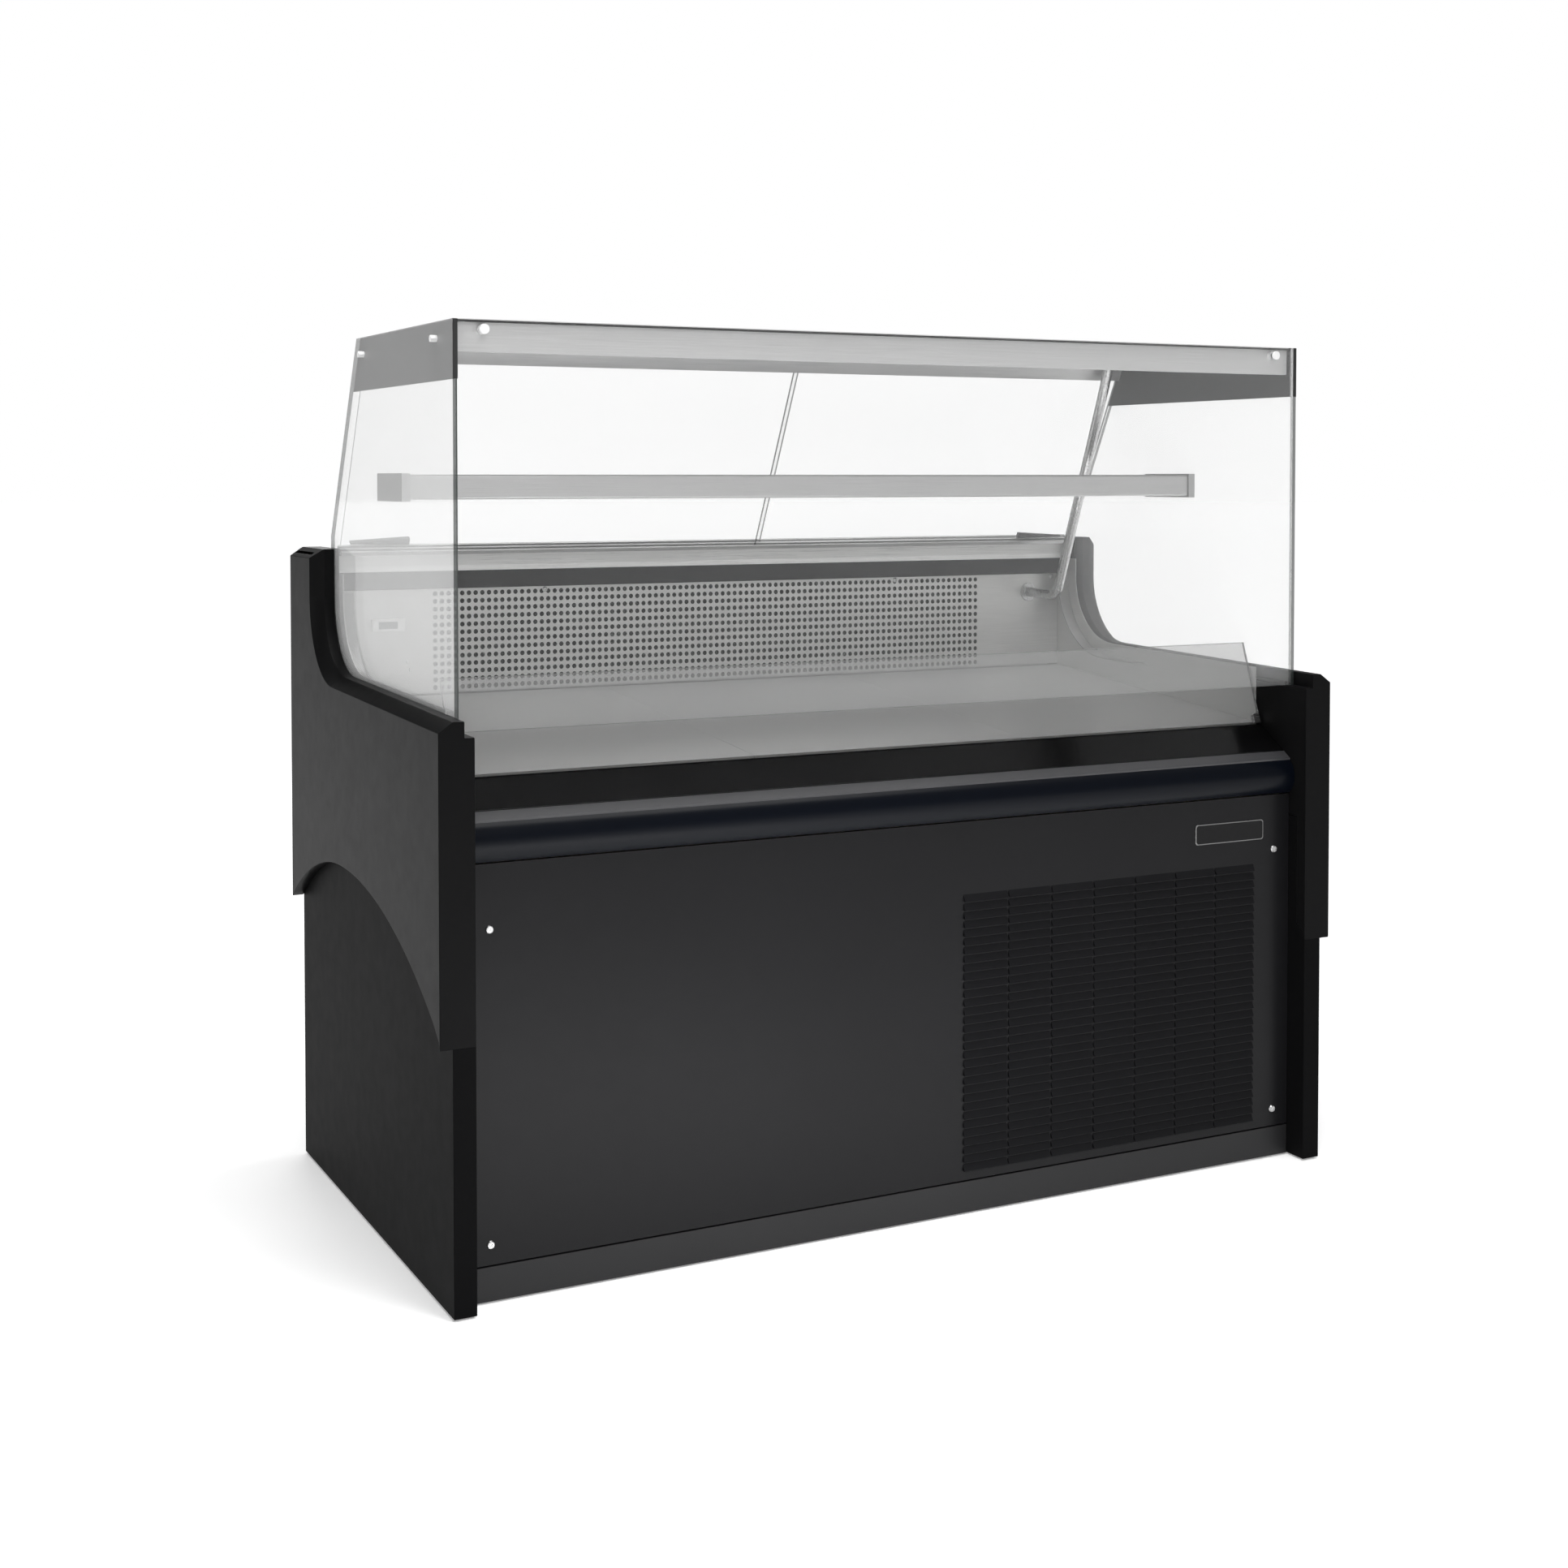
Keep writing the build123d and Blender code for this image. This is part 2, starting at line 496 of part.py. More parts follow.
with BuildPart() as switch_housings:
    for rocker_x in ROCKER_X:
        block((rocker_x - 10.5, rocker_x + 10.5), (745, PANEL_BACK), (CONTROL_Z - 12.5, CONTROL_Z + 12.5))
        block((rocker_x - 13, rocker_x + 13), (PANEL_BACK, PANEL_BACK + 2), (CONTROL_Z - 15, CONTROL_Z + 15))
        block((rocker_x - 8, rocker_x + 8), (757, PANEL_BACK + 3), (CONTROL_Z - 11.4, CONTROL_Z + 11.4), Mode.SUBTRACT)
save(switch_housings, "switch_housings")

for number, rocker_x in enumerate(ROCKER_X, 1):
    rocker_plane = Plane(origin=(rocker_x - 7.6, FRONT + 771, CONTROL_Z), x_dir=(0, 1, 0), z_dir=(1, 0, 0))
    with BuildPart() as rocker:
        with BuildSketch(rocker_plane.rotated((ROCKER_TILT, 0, 0))):
            with BuildLine():
                Polyline((0, -9.6), (5.2, -9.8), (3.4, 0), (5.2, 9.8), (0, 9.6))
                ThreePointArc((0, 9.6), (-7, 0), (0, -9.6))
            make_face()
        extrude(amount=15.2)
    save(rocker, f"rocker_{number}")

with BuildPart() as mains_gland:
    rod((GLAND[0], PANEL_BACK - 5, GLAND[1]), "Y", 7.6, 22)
    rod((GLAND[0], PANEL_BACK - 3.2, GLAND[1]), "Y", 12, 4)
    rod((GLAND[0], PANEL_BACK + 2.6, GLAND[1]), "Y", 10.5, 5)
    rod((GLAND[0], PANEL_BACK, GLAND[1]), "Y", 4.5, 60, Mode.SUBTRACT)
save(mains_gland, "mains_gland")


# --- upper glass, roof and lighting -------------------------------------------------------------------------
SPAN = INNER + 7                # inner face of the side panes
FIXING_X = 669.7
FIXING_Z = 1307
ROOF_FRONT = 58
ROOF_REAR = 524
KNOBS = ((470, 1294), (115, 1297))

with BuildPart() as front_glass:
    block((-SPAN, SPAN), (GLASS_FRONT, GLASS_FRONT + GLASS), (LEDGE_FRONT - REBATE_H + 1.7, HEIGHT))
    for fixing_x in (-FIXING_X, FIXING_X):
        rod((fixing_x, GLASS_FRONT, FIXING_Z), "Y", 4.2, 30, Mode.SUBTRACT)
save(front_glass, "front_glass")

with BuildPart() as roof_tray:
    side_profile(folded_sheet([(ROOF_FRONT + 10, 1277), (ROOF_FRONT, 1277), (ROOF_FRONT, HEIGHT - 1.5),
                               (ROOF_REAR, HEIGHT - 1.5)][::-1]), (-INNER - 3.5, INNER + 3.5))
    for fixing_x in (-FIXING_X, FIXING_X):
        rod((fixing_x, ROOF_FRONT, FIXING_Z), "Y", 4.2, 10, Mode.SUBTRACT)
save(roof_tray, "roof_tray")

with BuildPart() as glass_fixings:
    for fixing_x in (-FIXING_X, FIXING_X):
        rod((fixing_x, GLASS_FRONT - 1.8, FIXING_Z), "Y", 6.75, 3.6)
        rod((fixing_x, GLASS_FRONT + 9, FIXING_Z), "Y", 4, 26)
        rod((fixing_x, GLASS_FRONT + GLASS + 3, FIXING_Z), "Y", 6.75, 6)
    for _, side_sign in SIDES:
        for knob_d, knob_z in KNOBS:
            knob_x = side_sign * (SPAN + GLASS)
            with BuildSketch(Plane(origin=(knob_x, FRONT + knob_d, knob_z), x_dir=(0, 1, 0),
                                   z_dir=(side_sign, 0, 0))) as hexagon:
                RegularPolygon(5.2, 6)
            extrude(hexagon.sketch, amount=9)
save(glass_fixings, "glass_fixings")

with BuildPart() as light_bar:
    block((-INNER + 6, INNER - 6), BAR_D, BAR_Z)
    fillet(light_bar.edges().filter_by(Axis.X), 3)
    block((-INNER + 5, INNER - 5), (BAR_D[0] + 2.5, BAR_D[1] - 2.5), (BAR_Z[0] + 3, BAR_Z[1] - 2.5), Mode.SUBTRACT)
    block((-INNER + 20, INNER - 20), (BAR_D[0] + 30, BAR_D[1] - 30), (BAR_Z[0] - 1, BAR_Z[0] + 4), Mode.SUBTRACT)
save(light_bar, "light_bar")

with BuildPart() as light_diffuser:
    block((-INNER + 20.5, INNER - 20.5), (BAR_D[0] + 30.5, BAR_D[1] - 30.5), (BAR_Z[0] + 0.5, BAR_Z[0] + 3))
    block((-INNER + 12, INNER - 12), (BAR_D[0] + 26, BAR_D[1] - 26), (BAR_Z[0] + 3, BAR_Z[0] + 5))
save(light_diffuser, "light_diffuser")

with BuildPart() as light_bar_brackets:
    for _, side_sign in SIDES:
        block(side_span(side_sign, INNER - 5.5, SPAN), (BAR_D[0] - 3, BAR_D[1] + 3), (BAR_Z[0] - 3, BAR_Z[1] + 2))
        for bolt_d in BAR_BOLTS_D:
            rod((side_sign * (INNER + 0.25), bolt_d, BAR_BOLT_Z), "X", 5.5, 13.5)
            rod((side_sign * (INNER - 6), bolt_d, BAR_BOLT_Z), "X", 2.6, 3, Mode.SUBTRACT)
save(light_bar_brackets, "light_bar_brackets")

TUBE = [(631, AIR_PANEL_D, 893), (638, 618, 889), (656, 478, HEIGHT - 3)]
TUBE_R = 9

with BuildPart() as cable_tube:
    with BuildLine() as tube_path:
        corners = [(x, FRONT + d, z) for x, d, z in TUBE]
        FilletPolyline(*corners, radius=24)
    tube_start = tube_path.line
    with BuildSketch(Plane(origin=tube_start @ 0, z_dir=tube_start % 0)):
        Circle(TUBE_R)
    sweep()
    rod((TUBE[0][0], AIR_PANEL_D - 2, TUBE[0][2]), "Y", 17, 4)
    block((560, 700), (AIR_PANEL_D, AIR_PANEL_D + 20), (860, 920), Mode.SUBTRACT)
    block((600, 700), (450, 540), (HEIGHT - 1.5 - SHEET, HEIGHT + 20), Mode.SUBTRACT)
save(cable_tube, "cable_tube")

LOW_GLASS = ((108.5, 704.5), (153, 833.5))

with BuildPart() as low_glass:
    side_profile(folded_sheet([LOW_GLASS[1], LOW_GLASS[0]], 5)[::-1], (-INNER + 3, INNER - 3))
save(low_glass, "low_glass")


# --- sliding rear panes -------------------------------------------------------------------------------------
with BuildPart() as door_tracks:
    for rise, clip in (((-12, 6), (900, WORKTOP_Z[1])),
                       ((DOOR_HEIGHT - 11, DOOR_HEIGHT + 30), (HEIGHT - 1.5 - SHEET, HEIGHT + 40))):
        with BuildSketch(door_plane(-INNER + 2)) as section:
            with Locations((0, sum(rise) / 2)):
                Rectangle(2 * TRACK_N, rise[1] - rise[0])
            for groove_n in (-DOOR_TRACK_N, DOOR_TRACK_N):
                with Locations((groove_n, DOOR_HEIGHT / 2 + 0.5)):
                    Rectangle(DOOR_GLASS + 1.2, DOOR_HEIGHT + 2, mode=Mode.SUBTRACT)
        extrude(section.sketch, amount=2 * INNER - 4)
        block((-INNER, INNER), (450, 760), clip, Mode.SUBTRACT)
save(door_tracks, "door_tracks")

for door_side, groove_n in ((-1, DOOR_TRACK_N), (1, -DOOR_TRACK_N)):
    door_name = "left" if door_side < 0 else "right"
    door_x = (-DOOR_OUTER if door_side < 0 else DOOR_OUTER - DOOR_LENGTH[door_name])
    with BuildPart() as rear_pane:
        with BuildSketch(door_plane(door_x)) as section:
            with Locations((groove_n, DOOR_HEIGHT / 2 + 0.5)):
                Rectangle(DOOR_GLASS, DOOR_HEIGHT)
        extrude(section.sketch, amount=DOOR_LENGTH[door_name])
        fillet(rear_pane.edges().filter_by(Axis.X), 0.8)
    save(rear_pane, f"rear_pane_{door_name}")

    across = door_plane(0)
    grip_back = across.origin + across.x_dir * (groove_n + DOOR_GLASS / 2 + GRIP_DEPTH[door_name])
    with BuildPart() as pane_grip:
        with BuildSketch(Plane(origin=grip_back, x_dir=(1, 0, 0), z_dir=-across.x_dir)):
            with BuildLine():
                near_x, far_x = door_side * GRIP_X[0], door_side * GRIP_X[1]
                Polyline((near_x, GRIP_RISE[0][0]), (near_x, GRIP_RISE[0][1]), (far_x, GRIP_RISE[1][1]),
                         (far_x, GRIP_RISE[1][0]), close=True)
            make_face()
        extrude(amount=GRIP_DEPTH[door_name])
    save(pane_grip, f"pane_grip_{door_name}")


# --- refrigeration ------------------------------------------------------------------------------------------
def finned_coil(label, x, d, z, pitch, fin):
    """Finned coil block: upright fins standing on a full-length foot."""
    foot = z[0] + 4
    comb = [(x[1], z[0]), (x[0], z[0]), (x[0], z[1]), (x[0] + fin, z[1]), (x[0] + fin, foot)]
    for index in range(1, int((x[1] - x[0] - fin) / pitch) + 1):
        fin_x = x[0] + index * pitch
        comb += [(fin_x, foot), (fin_x, z[1]), (fin_x + fin, z[1]), (fin_x + fin, foot)]
    with BuildPart() as coil:
        with BuildSketch(Plane(origin=(0, FRONT + d[1], 0), x_dir=(1, 0, 0), z_dir=(0, -1, 0))):
            with BuildLine():
                Polyline(*comb, (x[1], foot), close=True)
            make_face()
        extrude(amount=d[1] - d[0])
    save(coil, label)


def fan_rotor(label, hub, radius, hub_radius, width, blades):
    """Axial fan rotor turning about Y, with a bore that runs on its motor's shaft."""
    x, d, z = hub
    with BuildPart() as rotor:
        rod(hub, "Y", hub_radius, width)
        for index in range(blades):
            angle = math.radians(360 / blades * index)
            reach = (hub_radius + radius) / 2 - 2
            centre = (x + reach * math.cos(angle), FRONT + d, z + reach * math.sin(angle))
            with Locations(Location(centre, (0, -math.degrees(angle), 0))):
                Box(radius - hub_radius + 4, 2, radius * 0.62, rotation=(28, 0, 0))
        rod(hub, "Y", radius, 4 * width, Mode.INTERSECT)
        rod(hub, "Y", SHAFT_R + RUNNING_FIT, width + 4, Mode.SUBTRACT)
    save(rotor, label)


def fan_motor(hub, plate_d, arm, gap, body_radius, body_length):
    """Motor behind a shroud plate: body, shaft into the rotor's hub, and four arms to the plate."""
    x, d, z = hub
    body_d = d + gap
    arm_d = body_d + 5
    rod((x, body_d + body_length / 2, z), "Y", body_radius, body_length)
    rod((x, (d - 9 + body_d) / 2, z), "Y", SHAFT_R, body_d - d + 9)
    for index in range(4):
        angle = math.radians(45 + 90 * index)
        tip = (x + arm * math.cos(angle), z + arm * math.sin(angle))
        middle = ((x + tip[0]) / 2, FRONT + arm_d, (z + tip[1]) / 2)
        with Locations(Location(middle, (0, -math.degrees(angle), 0))):
            Box(arm, 3, 8)
        rod((tip[0], (plate_d + arm_d) / 2, tip[1]), "Y", 4, arm_d - plate_d)


finned_coil("evaporator_coil", (-560, 420), (330, 500), (586, 690), 14, 1.2)
finned_coil("condenser_coil", CONDENSER_X, (130, 185), CONDENSER_Z, 9, 1.2)

with BuildPart() as fan_shroud:
    plate_foot = LINER_FLOOR[1] + 6
    block((TIGHT[0] + 1, TIGHT[1] - 1), (FAN_D - 6, FAN_D - 6 + SHEET), (plate_foot, 732))
    for fan_x in FAN_X:
        rod((fan_x, FAN_D, FAN_Z), "Y", FAN_R + 3, 40, Mode.SUBTRACT)
save(fan_shroud, "fan_shroud")

with BuildPart() as fan_motors:
    for fan_x in FAN_X:
        fan_motor((fan_x, FAN_D, FAN_Z), FAN_D - 6 + SHEET, FAN_R + 10, 14, 22, 34)
save(fan_motors, "fan_motors")

for number, fan_x in enumerate(FAN_X, 1):
    fan_rotor(f"fan_rotor_{number}", (fan_x, FAN_D, FAN_Z), FAN_R, 17, 14, 5)

SHROUD_D = 222
with BuildPart() as condenser_shroud:
    block(CONDENSER_X, (187, SHROUD_D), CONDENSER_Z)
    block((CONDENSER_X[0] + 2, CONDENSER_X[1] - 2), (186, SHROUD_D - 2), (CONDENSER_Z[0] + 2, CONDENSER_Z[1] - 2),
          Mode.SUBTRACT)
    rod((CONDENSER_FAN[0], SHROUD_D, CONDENSER_FAN[2]), "Y", CONDENSER_FAN_R + 5, 20, Mode.SUBTRACT)
save(condenser_shroud, "condenser_shroud")

with BuildPart() as condenser_motor:
    fan_motor(CONDENSER_FAN, SHROUD_D, CONDENSER_FAN_R + 14, 28, 38, 60)
save(condenser_motor, "condenser_motor")
fan_rotor("condenser_fan_rotor", CONDENSER_FAN, CONDENSER_FAN_R, 34, 16, 5)

with BuildPart() as unit_tray:
    block((110, 640), (110, 680), (50, 58))
    block((112, 638), (112, 678), (52, 59), Mode.SUBTRACT)
save(unit_tray, "unit_tray")

COMPRESSOR = (290, 460)
with BuildPart() as compressor:
    rod((*COMPRESSOR, 150), "Z", 78, 130)
    fillet(compressor.edges().filter_by(GeomType.CIRCLE), 30)
    block((COMPRESSOR[0] - 80, COMPRESSOR[0] + 80), (COMPRESSOR[1] - 60, COMPRESSOR[1] + 60), (80, 88))
    for foot_x in (-70, 70):
        for foot_d in (-50, 50):
            rod((COMPRESSOR[0] + foot_x, COMPRESSOR[1] + foot_d, 66), "Z", 9, 28)
save(compressor, "compressor")

with BuildPart() as refrigerant_pipes:
    for pipe_x, leave_d, radius in ((PIPE_X[0], 430, 5), (PIPE_X[1], 490, 4)):
        with BuildLine() as route:
            path = [(COMPRESSOR[0], leave_d, 215), (COMPRESSOR[0], leave_d, 470 - (leave_d - 430) / 2),
                    (pipe_x, leave_d, 470 - (leave_d - 430) / 2), (pipe_x, PIPE_D, 470 - (leave_d - 430) / 2),
                    (pipe_x, PIPE_D, 582)]
            FilletPolyline(*[(x, FRONT + d, z) for x, d, z in path], radius=35)
        pipe_line = route.line
        with BuildSketch(Plane(origin=pipe_line @ 0, z_dir=pipe_line % 0)):
            Circle(radius)
        sweep()
save(refrigerant_pipes, "refrigerant_pipes")
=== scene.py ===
"""Looks of the refrigerated deli case: materials for the CAD frame, small mesh pieces, light and camera."""
import math

import bmesh
import bpy
from mathutils import Matrix, Vector


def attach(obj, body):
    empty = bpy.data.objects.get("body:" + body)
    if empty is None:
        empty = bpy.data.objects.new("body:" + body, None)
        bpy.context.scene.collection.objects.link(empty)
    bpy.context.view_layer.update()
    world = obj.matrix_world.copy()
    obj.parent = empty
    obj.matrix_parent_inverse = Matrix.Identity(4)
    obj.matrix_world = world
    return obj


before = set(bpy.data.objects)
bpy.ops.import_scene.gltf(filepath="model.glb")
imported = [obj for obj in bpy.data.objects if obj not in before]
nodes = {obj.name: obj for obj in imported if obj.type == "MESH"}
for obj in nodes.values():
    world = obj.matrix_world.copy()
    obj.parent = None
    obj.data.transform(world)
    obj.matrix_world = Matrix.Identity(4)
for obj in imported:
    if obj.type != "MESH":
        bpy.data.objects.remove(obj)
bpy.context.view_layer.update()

# Lengths are in mm. Places are given as x, depth behind the front face and height; spans are pairs.
MM = 0.001
FRONT = -390                    # the front face's y
INNER = 700                     # x of the side walls' inner faces
PANE = 6                        # thickness of the front and side panes
GLASS_X = 707                   # x of the side panes' inner faces
REBATE_H = 22                   # how far the side panes reach down into the walls
LEDGE_FRONT, LEDGE_BEND, BEND_R = 791.5, (528, 804.8), 118      # upper edge of a side wall
LEDGE_TRIM = {"inset": 26, "front": 430, "top": 926, "thick": 1.5, "wide": (24, 1.3)}
PANE_GASKET = {"front": 54, "top": 996, "thick": 5, "wide": (4.6, 0.05)}
CORNER_STRIP = ((45.2, 46), (1241, 1319.8))
ROOF_GASKET = ((52.3, 57.8), (1316.6, 1319.6))
LOW_GLASS = ((108.5, 704.5), (153, 833.5))                      # foot and head of the low glass
LOW_GLASS_T = 5
LOW_GLASS_CLIP = {"x": 690, "wide": 12, "high": 14, "thick": 1.2}
AIR_PANEL_D = 702               # face of the perforated panel
# Dark sheet behind the perforated panel: painted shade inside the air duct.
DUCT_SHADE_SHEET = ((708, 709.5), (757, 926), 694)                   # depth, height, half width
LOUVRE_SHEET = ((54, 56), (55, 494), (64, 638))                  # depth, height, x
LCD = {"x": -612, "z": 869.5, "size": (31.6, 11.6), "proud": 6.06}
LCD_MARK = {"right": 1, "left": 13.5, "rise": 3.5}              # places on the display, from its middle
LCD_FIGURE, LED_FIGURE = (4.2, 8, 0.9), (7, 13, 1.5)            # width, height and stroke
FILM = 0.1                      # thickness of displays, figures and prints
PANEL_BACK = 774                # outer face of the lower rear panel
CONTROL_Z = 462                 # height of the controller and the switches
CONTROLLER_DIGITS, CONTROLLER_PROUD = (("2", -524), ("5", -537)), 2.75
BUTTON_X, BUTTON_PROUD = (-510, -500, -490), 4.22
ARROW = (1.5, 1.6)              # half width and half height of the arrows on the buttons
ROCKER_X, ROCKER_D, ROCKER_LEAN = (-420, -385), 771, 8          # the lean at rest is in degrees
MARK_D, MARK_Z, RING_R, RING_DOTS = 4.5, 5.6, 1.7, 12           # bar over the hub, ring of dots under it
BADGE = {"x": 576.8, "z": 540.3, "reach": (62.3, 10.6), "corner": 4, "d": (37.58, 37.2), "steps": 6}
UPPER_PANEL_SET = 0.8           # how far the upper rear panel's face lies inside the lower one's
REAR_SCREW_X = (-670, -335, 0, 335, 670)
UPPER_SCREW_Z, LOWER_SCREW_Z = (540, 930), (75, 495)
AIR_SCREWS = ((-684, 921), (-340, 922), (340, 922), (684, 921))
SCREW_PROFILE = ((4.6, 0), (4.6, 0.5), (3.9, 1.5), (2.4, 2.2), (1.6, 2.3), (1.4, 1.4), (0.4, 1.3))
SCREW_SIDES = 20
RATING_PLATE = {"x": 560, "z": 640, "size": (90, 55, 0.6)}
EVAPORATOR_X, EVAPORATOR_ROWS, EVAPORATOR_BENDS = (-560, 420), (360, 415, 470), (610, 638, 666)
CONDENSER_X, CONDENSER_ROW, CONDENSER_BEND = (140, 560), 157, 30
CONDENSER_LOW, CONDENSER_TOP = 90, 360
COPPER_R, LEAD_R = 4.5, 3.5
TERMINAL_BOX = ((290, 544, 150), (62, 22, 54))
LEAD_PATH = ((290, 556, 140), (300, 620, 120), (420, 660, 90), (560, 690, 85), (612, 757, 90))

# The stage is in metres.
FLOOR_R, FLOOR_RIM, FLOOR_T, FLOOR_DROP = 90, 96, 0.0195, 0.0005
CAMERA_PLACE, CAMERA_TURN = (-1.5803, -3.0059, 1.1112), (88.229, 0, -27.026)
CAMERA_LENS, CAMERA_SENSOR, CAMERA_SHIFT = 48.05, 36, -0.1548


def at(x, d, z):
    """Point in metres from x, depth behind the front face and height in mm."""
    return Vector((x, FRONT + d, z)) * MM


# --- materials ----------------------------------------------------------------------------------------------
class Shader:
    """A Principled material whose patterns are laid out in the row frame."""

    def __init__(self, name, metallic=0.0, **values):
        self.material = bpy.data.materials.new(name)
        self.material.use_nodes = True
        self.tree = self.material.node_tree
        self.principled = self.tree.nodes["Principled BSDF"]
        self.principled.inputs["Metallic"].default_value = metallic
        for socket, value in values.items():
            title = socket.replace("_", " ").title().replace("Ior", "IOR")
            self.principled.inputs[title].default_value = value
        self.place = self.tree.nodes.new("ShaderNodeTexCoord").outputs["Object"]

    def link(self, output, socket):
        self.tree.links.new(output, socket)

    def noise(self, scale, detail=4.0, stretch=(1, 1, 1), roughness=0.55):
        mapping = self.tree.nodes.new("ShaderNodeMapping")
        mapping.inputs["Scale"].default_value = stretch
        self.link(self.place, mapping.inputs["Vector"])
        texture = self.tree.nodes.new("ShaderNodeTexNoise")
        texture.inputs["Scale"].default_value = scale
        texture.inputs["Detail"].default_value = detail
        texture.inputs["Roughness"].default_value = roughness
        self.link(mapping.outputs["Vector"], texture.inputs["Vector"])
        return texture.outputs["Fac"]

    def ranged(self, factor, low, high, start=0.3, end=0.7):
        node = self.tree.nodes.new("ShaderNodeMapRange")
        for socket, value in (("From Min", start), ("From Max", end), ("To Min", low), ("To Max", high)):
            node.inputs[socket].default_value = value
        self.link(factor, node.inputs["Value"])
        return node.outputs["Result"]

    def colours(self, factor, low, high, start=0.3, end=0.7):
        ramp = self.tree.nodes.new("ShaderNodeValToRGB")
        ramp.color_ramp.elements[0].position = start
        ramp.color_ramp.elements[1].position = end
        ramp.color_ramp.elements[0].color = (*low, 1)
        ramp.color_ramp.elements[1].color = (*high, 1)
        self.link(factor, ramp.inputs["Fac"])
        return ramp.outputs["Color"]

    def base(self, colour):
        self.link(colour, self.principled.inputs["Base Color"])

    def rough(self, value):
        self.link(value, self.principled.inputs["Roughness"])

    def bump(self, factor, strength, distance):
        node = self.tree.nodes.new("ShaderNodeBump")
        node.inputs["Strength"].default_value = strength
        node.inputs["Distance"].default_value = distance
        self.link(factor, node.inputs["Height"])
        self.link(node.outputs["Normal"], self.principled.inputs["Normal"])


def tinted(colour, share):
    return tuple(min(1.0, channel * share) for channel in colour)


def coated(name, colour, rough, grain=700, bump=0.12, vary=0.05, spread=0.018, metallic=0.0, **values):
    """Powder coat, moulded plastic or enamel: cloudy tone, fine grain and uneven sheen."""
    shader = Shader(name, metallic, **values)
    shader.base(shader.colours(shader.noise(5, 3), tinted(colour, 1 - vary), tinted(colour, 1 + vary)))
    shader.rough(shader.ranged(shader.noise(38, 5), rough - spread, rough + spread))
    shader.bump(shader.noise(grain, 2), bump, 0.0003)
    return shader.material


def brushed(name, colour, rough, along=0, vary=0.08, spread=0.07, bump=0.06, metallic=1.0):
    """Brushed or drawn metal, with its grain along the axis 0, 1 or 2."""
    shader = Shader(name, metallic)
    stretch = [1, 1, 1]
    stretch[along] = 0.012
    grain = shader.noise(900, 3, stretch, 0.6)
    shader.base(shader.colours(grain, tinted(colour, 1 - vary), tinted(colour, 1 + vary)))
    cloud = shader.noise(4, 3)
    both = shader.tree.nodes.new("ShaderNodeMath")
    both.operation = "ADD"
    shader.link(shader.ranged(grain, -spread, spread), both.inputs[0])
    shader.link(shader.ranged(cloud, rough - 0.04, rough + 0.04), both.inputs[1])
    shader.rough(both.outputs[0])
    shader.bump(grain, bump, 0.0002)
    return shader.material


def pane(name, face, clear, mirror, edge_colour, tint, power=2.2):
    """Toughened glass: clear square on; its white base colour, with more alpha at a slant, is painted
    reflection; dark at its ground edges; face is its normal.
    """
    shader = Shader(name, specular_ior_level=0.5)
    tree = shader.tree
    geometry = tree.nodes.new("ShaderNodeNewGeometry")
    across = tree.nodes.new("ShaderNodeVectorMath")
    across.operation = "DOT_PRODUCT"
    shader.link(geometry.outputs["True Normal"], across.inputs[0])
    across.inputs[1].default_value = face
    size = tree.nodes.new("ShaderNodeMath")
    size.operation = "ABSOLUTE"
    shader.link(across.outputs["Value"], size.inputs[0])
    on_edge = shader.ranged(size.outputs[0], 1, 0, 0.5, 0.6)
    slant = tree.nodes.new("ShaderNodeLayerWeight")
    slant.inputs["Blend"].default_value = 0.5
    curve = tree.nodes.new("ShaderNodeMath")
    curve.operation = "POWER"
    shader.link(slant.outputs["Facing"], curve.inputs[0])
    curve.inputs[1].default_value = power
    # The white veil's alpha grows at a slant and is patchy: this is painted reflection.
    patchy_reflection = shader.ranged(shader.noise(3, 4), 0.94, 1.06)
    sheen = tree.nodes.new("ShaderNodeMath")
    sheen.operation = "MULTIPLY"
    shader.link(shader.ranged(curve.outputs[0], clear, mirror, 0, 1), sheen.inputs[0])
    shader.link(patchy_reflection, sheen.inputs[1])
    solid = tree.nodes.new("ShaderNodeMix")
    shader.link(on_edge, solid.inputs["Factor"])
    shader.link(sheen.outputs[0], solid.inputs["A"])
    solid.inputs["B"].default_value = 0.8
    shader.link(solid.outputs["Result"], shader.principled.inputs["Alpha"])
    # tint is the colour of the painted reflection veil; edge_colour colours the ground edges.
    shader.base(shader.colours(on_edge, tint, edge_colour, 0, 1))
    shader.rough(shader.ranged(shader.noise(9, 4), 0.02, 0.07))
    shader.material.surface_render_method = "BLENDED"
    return shader.material


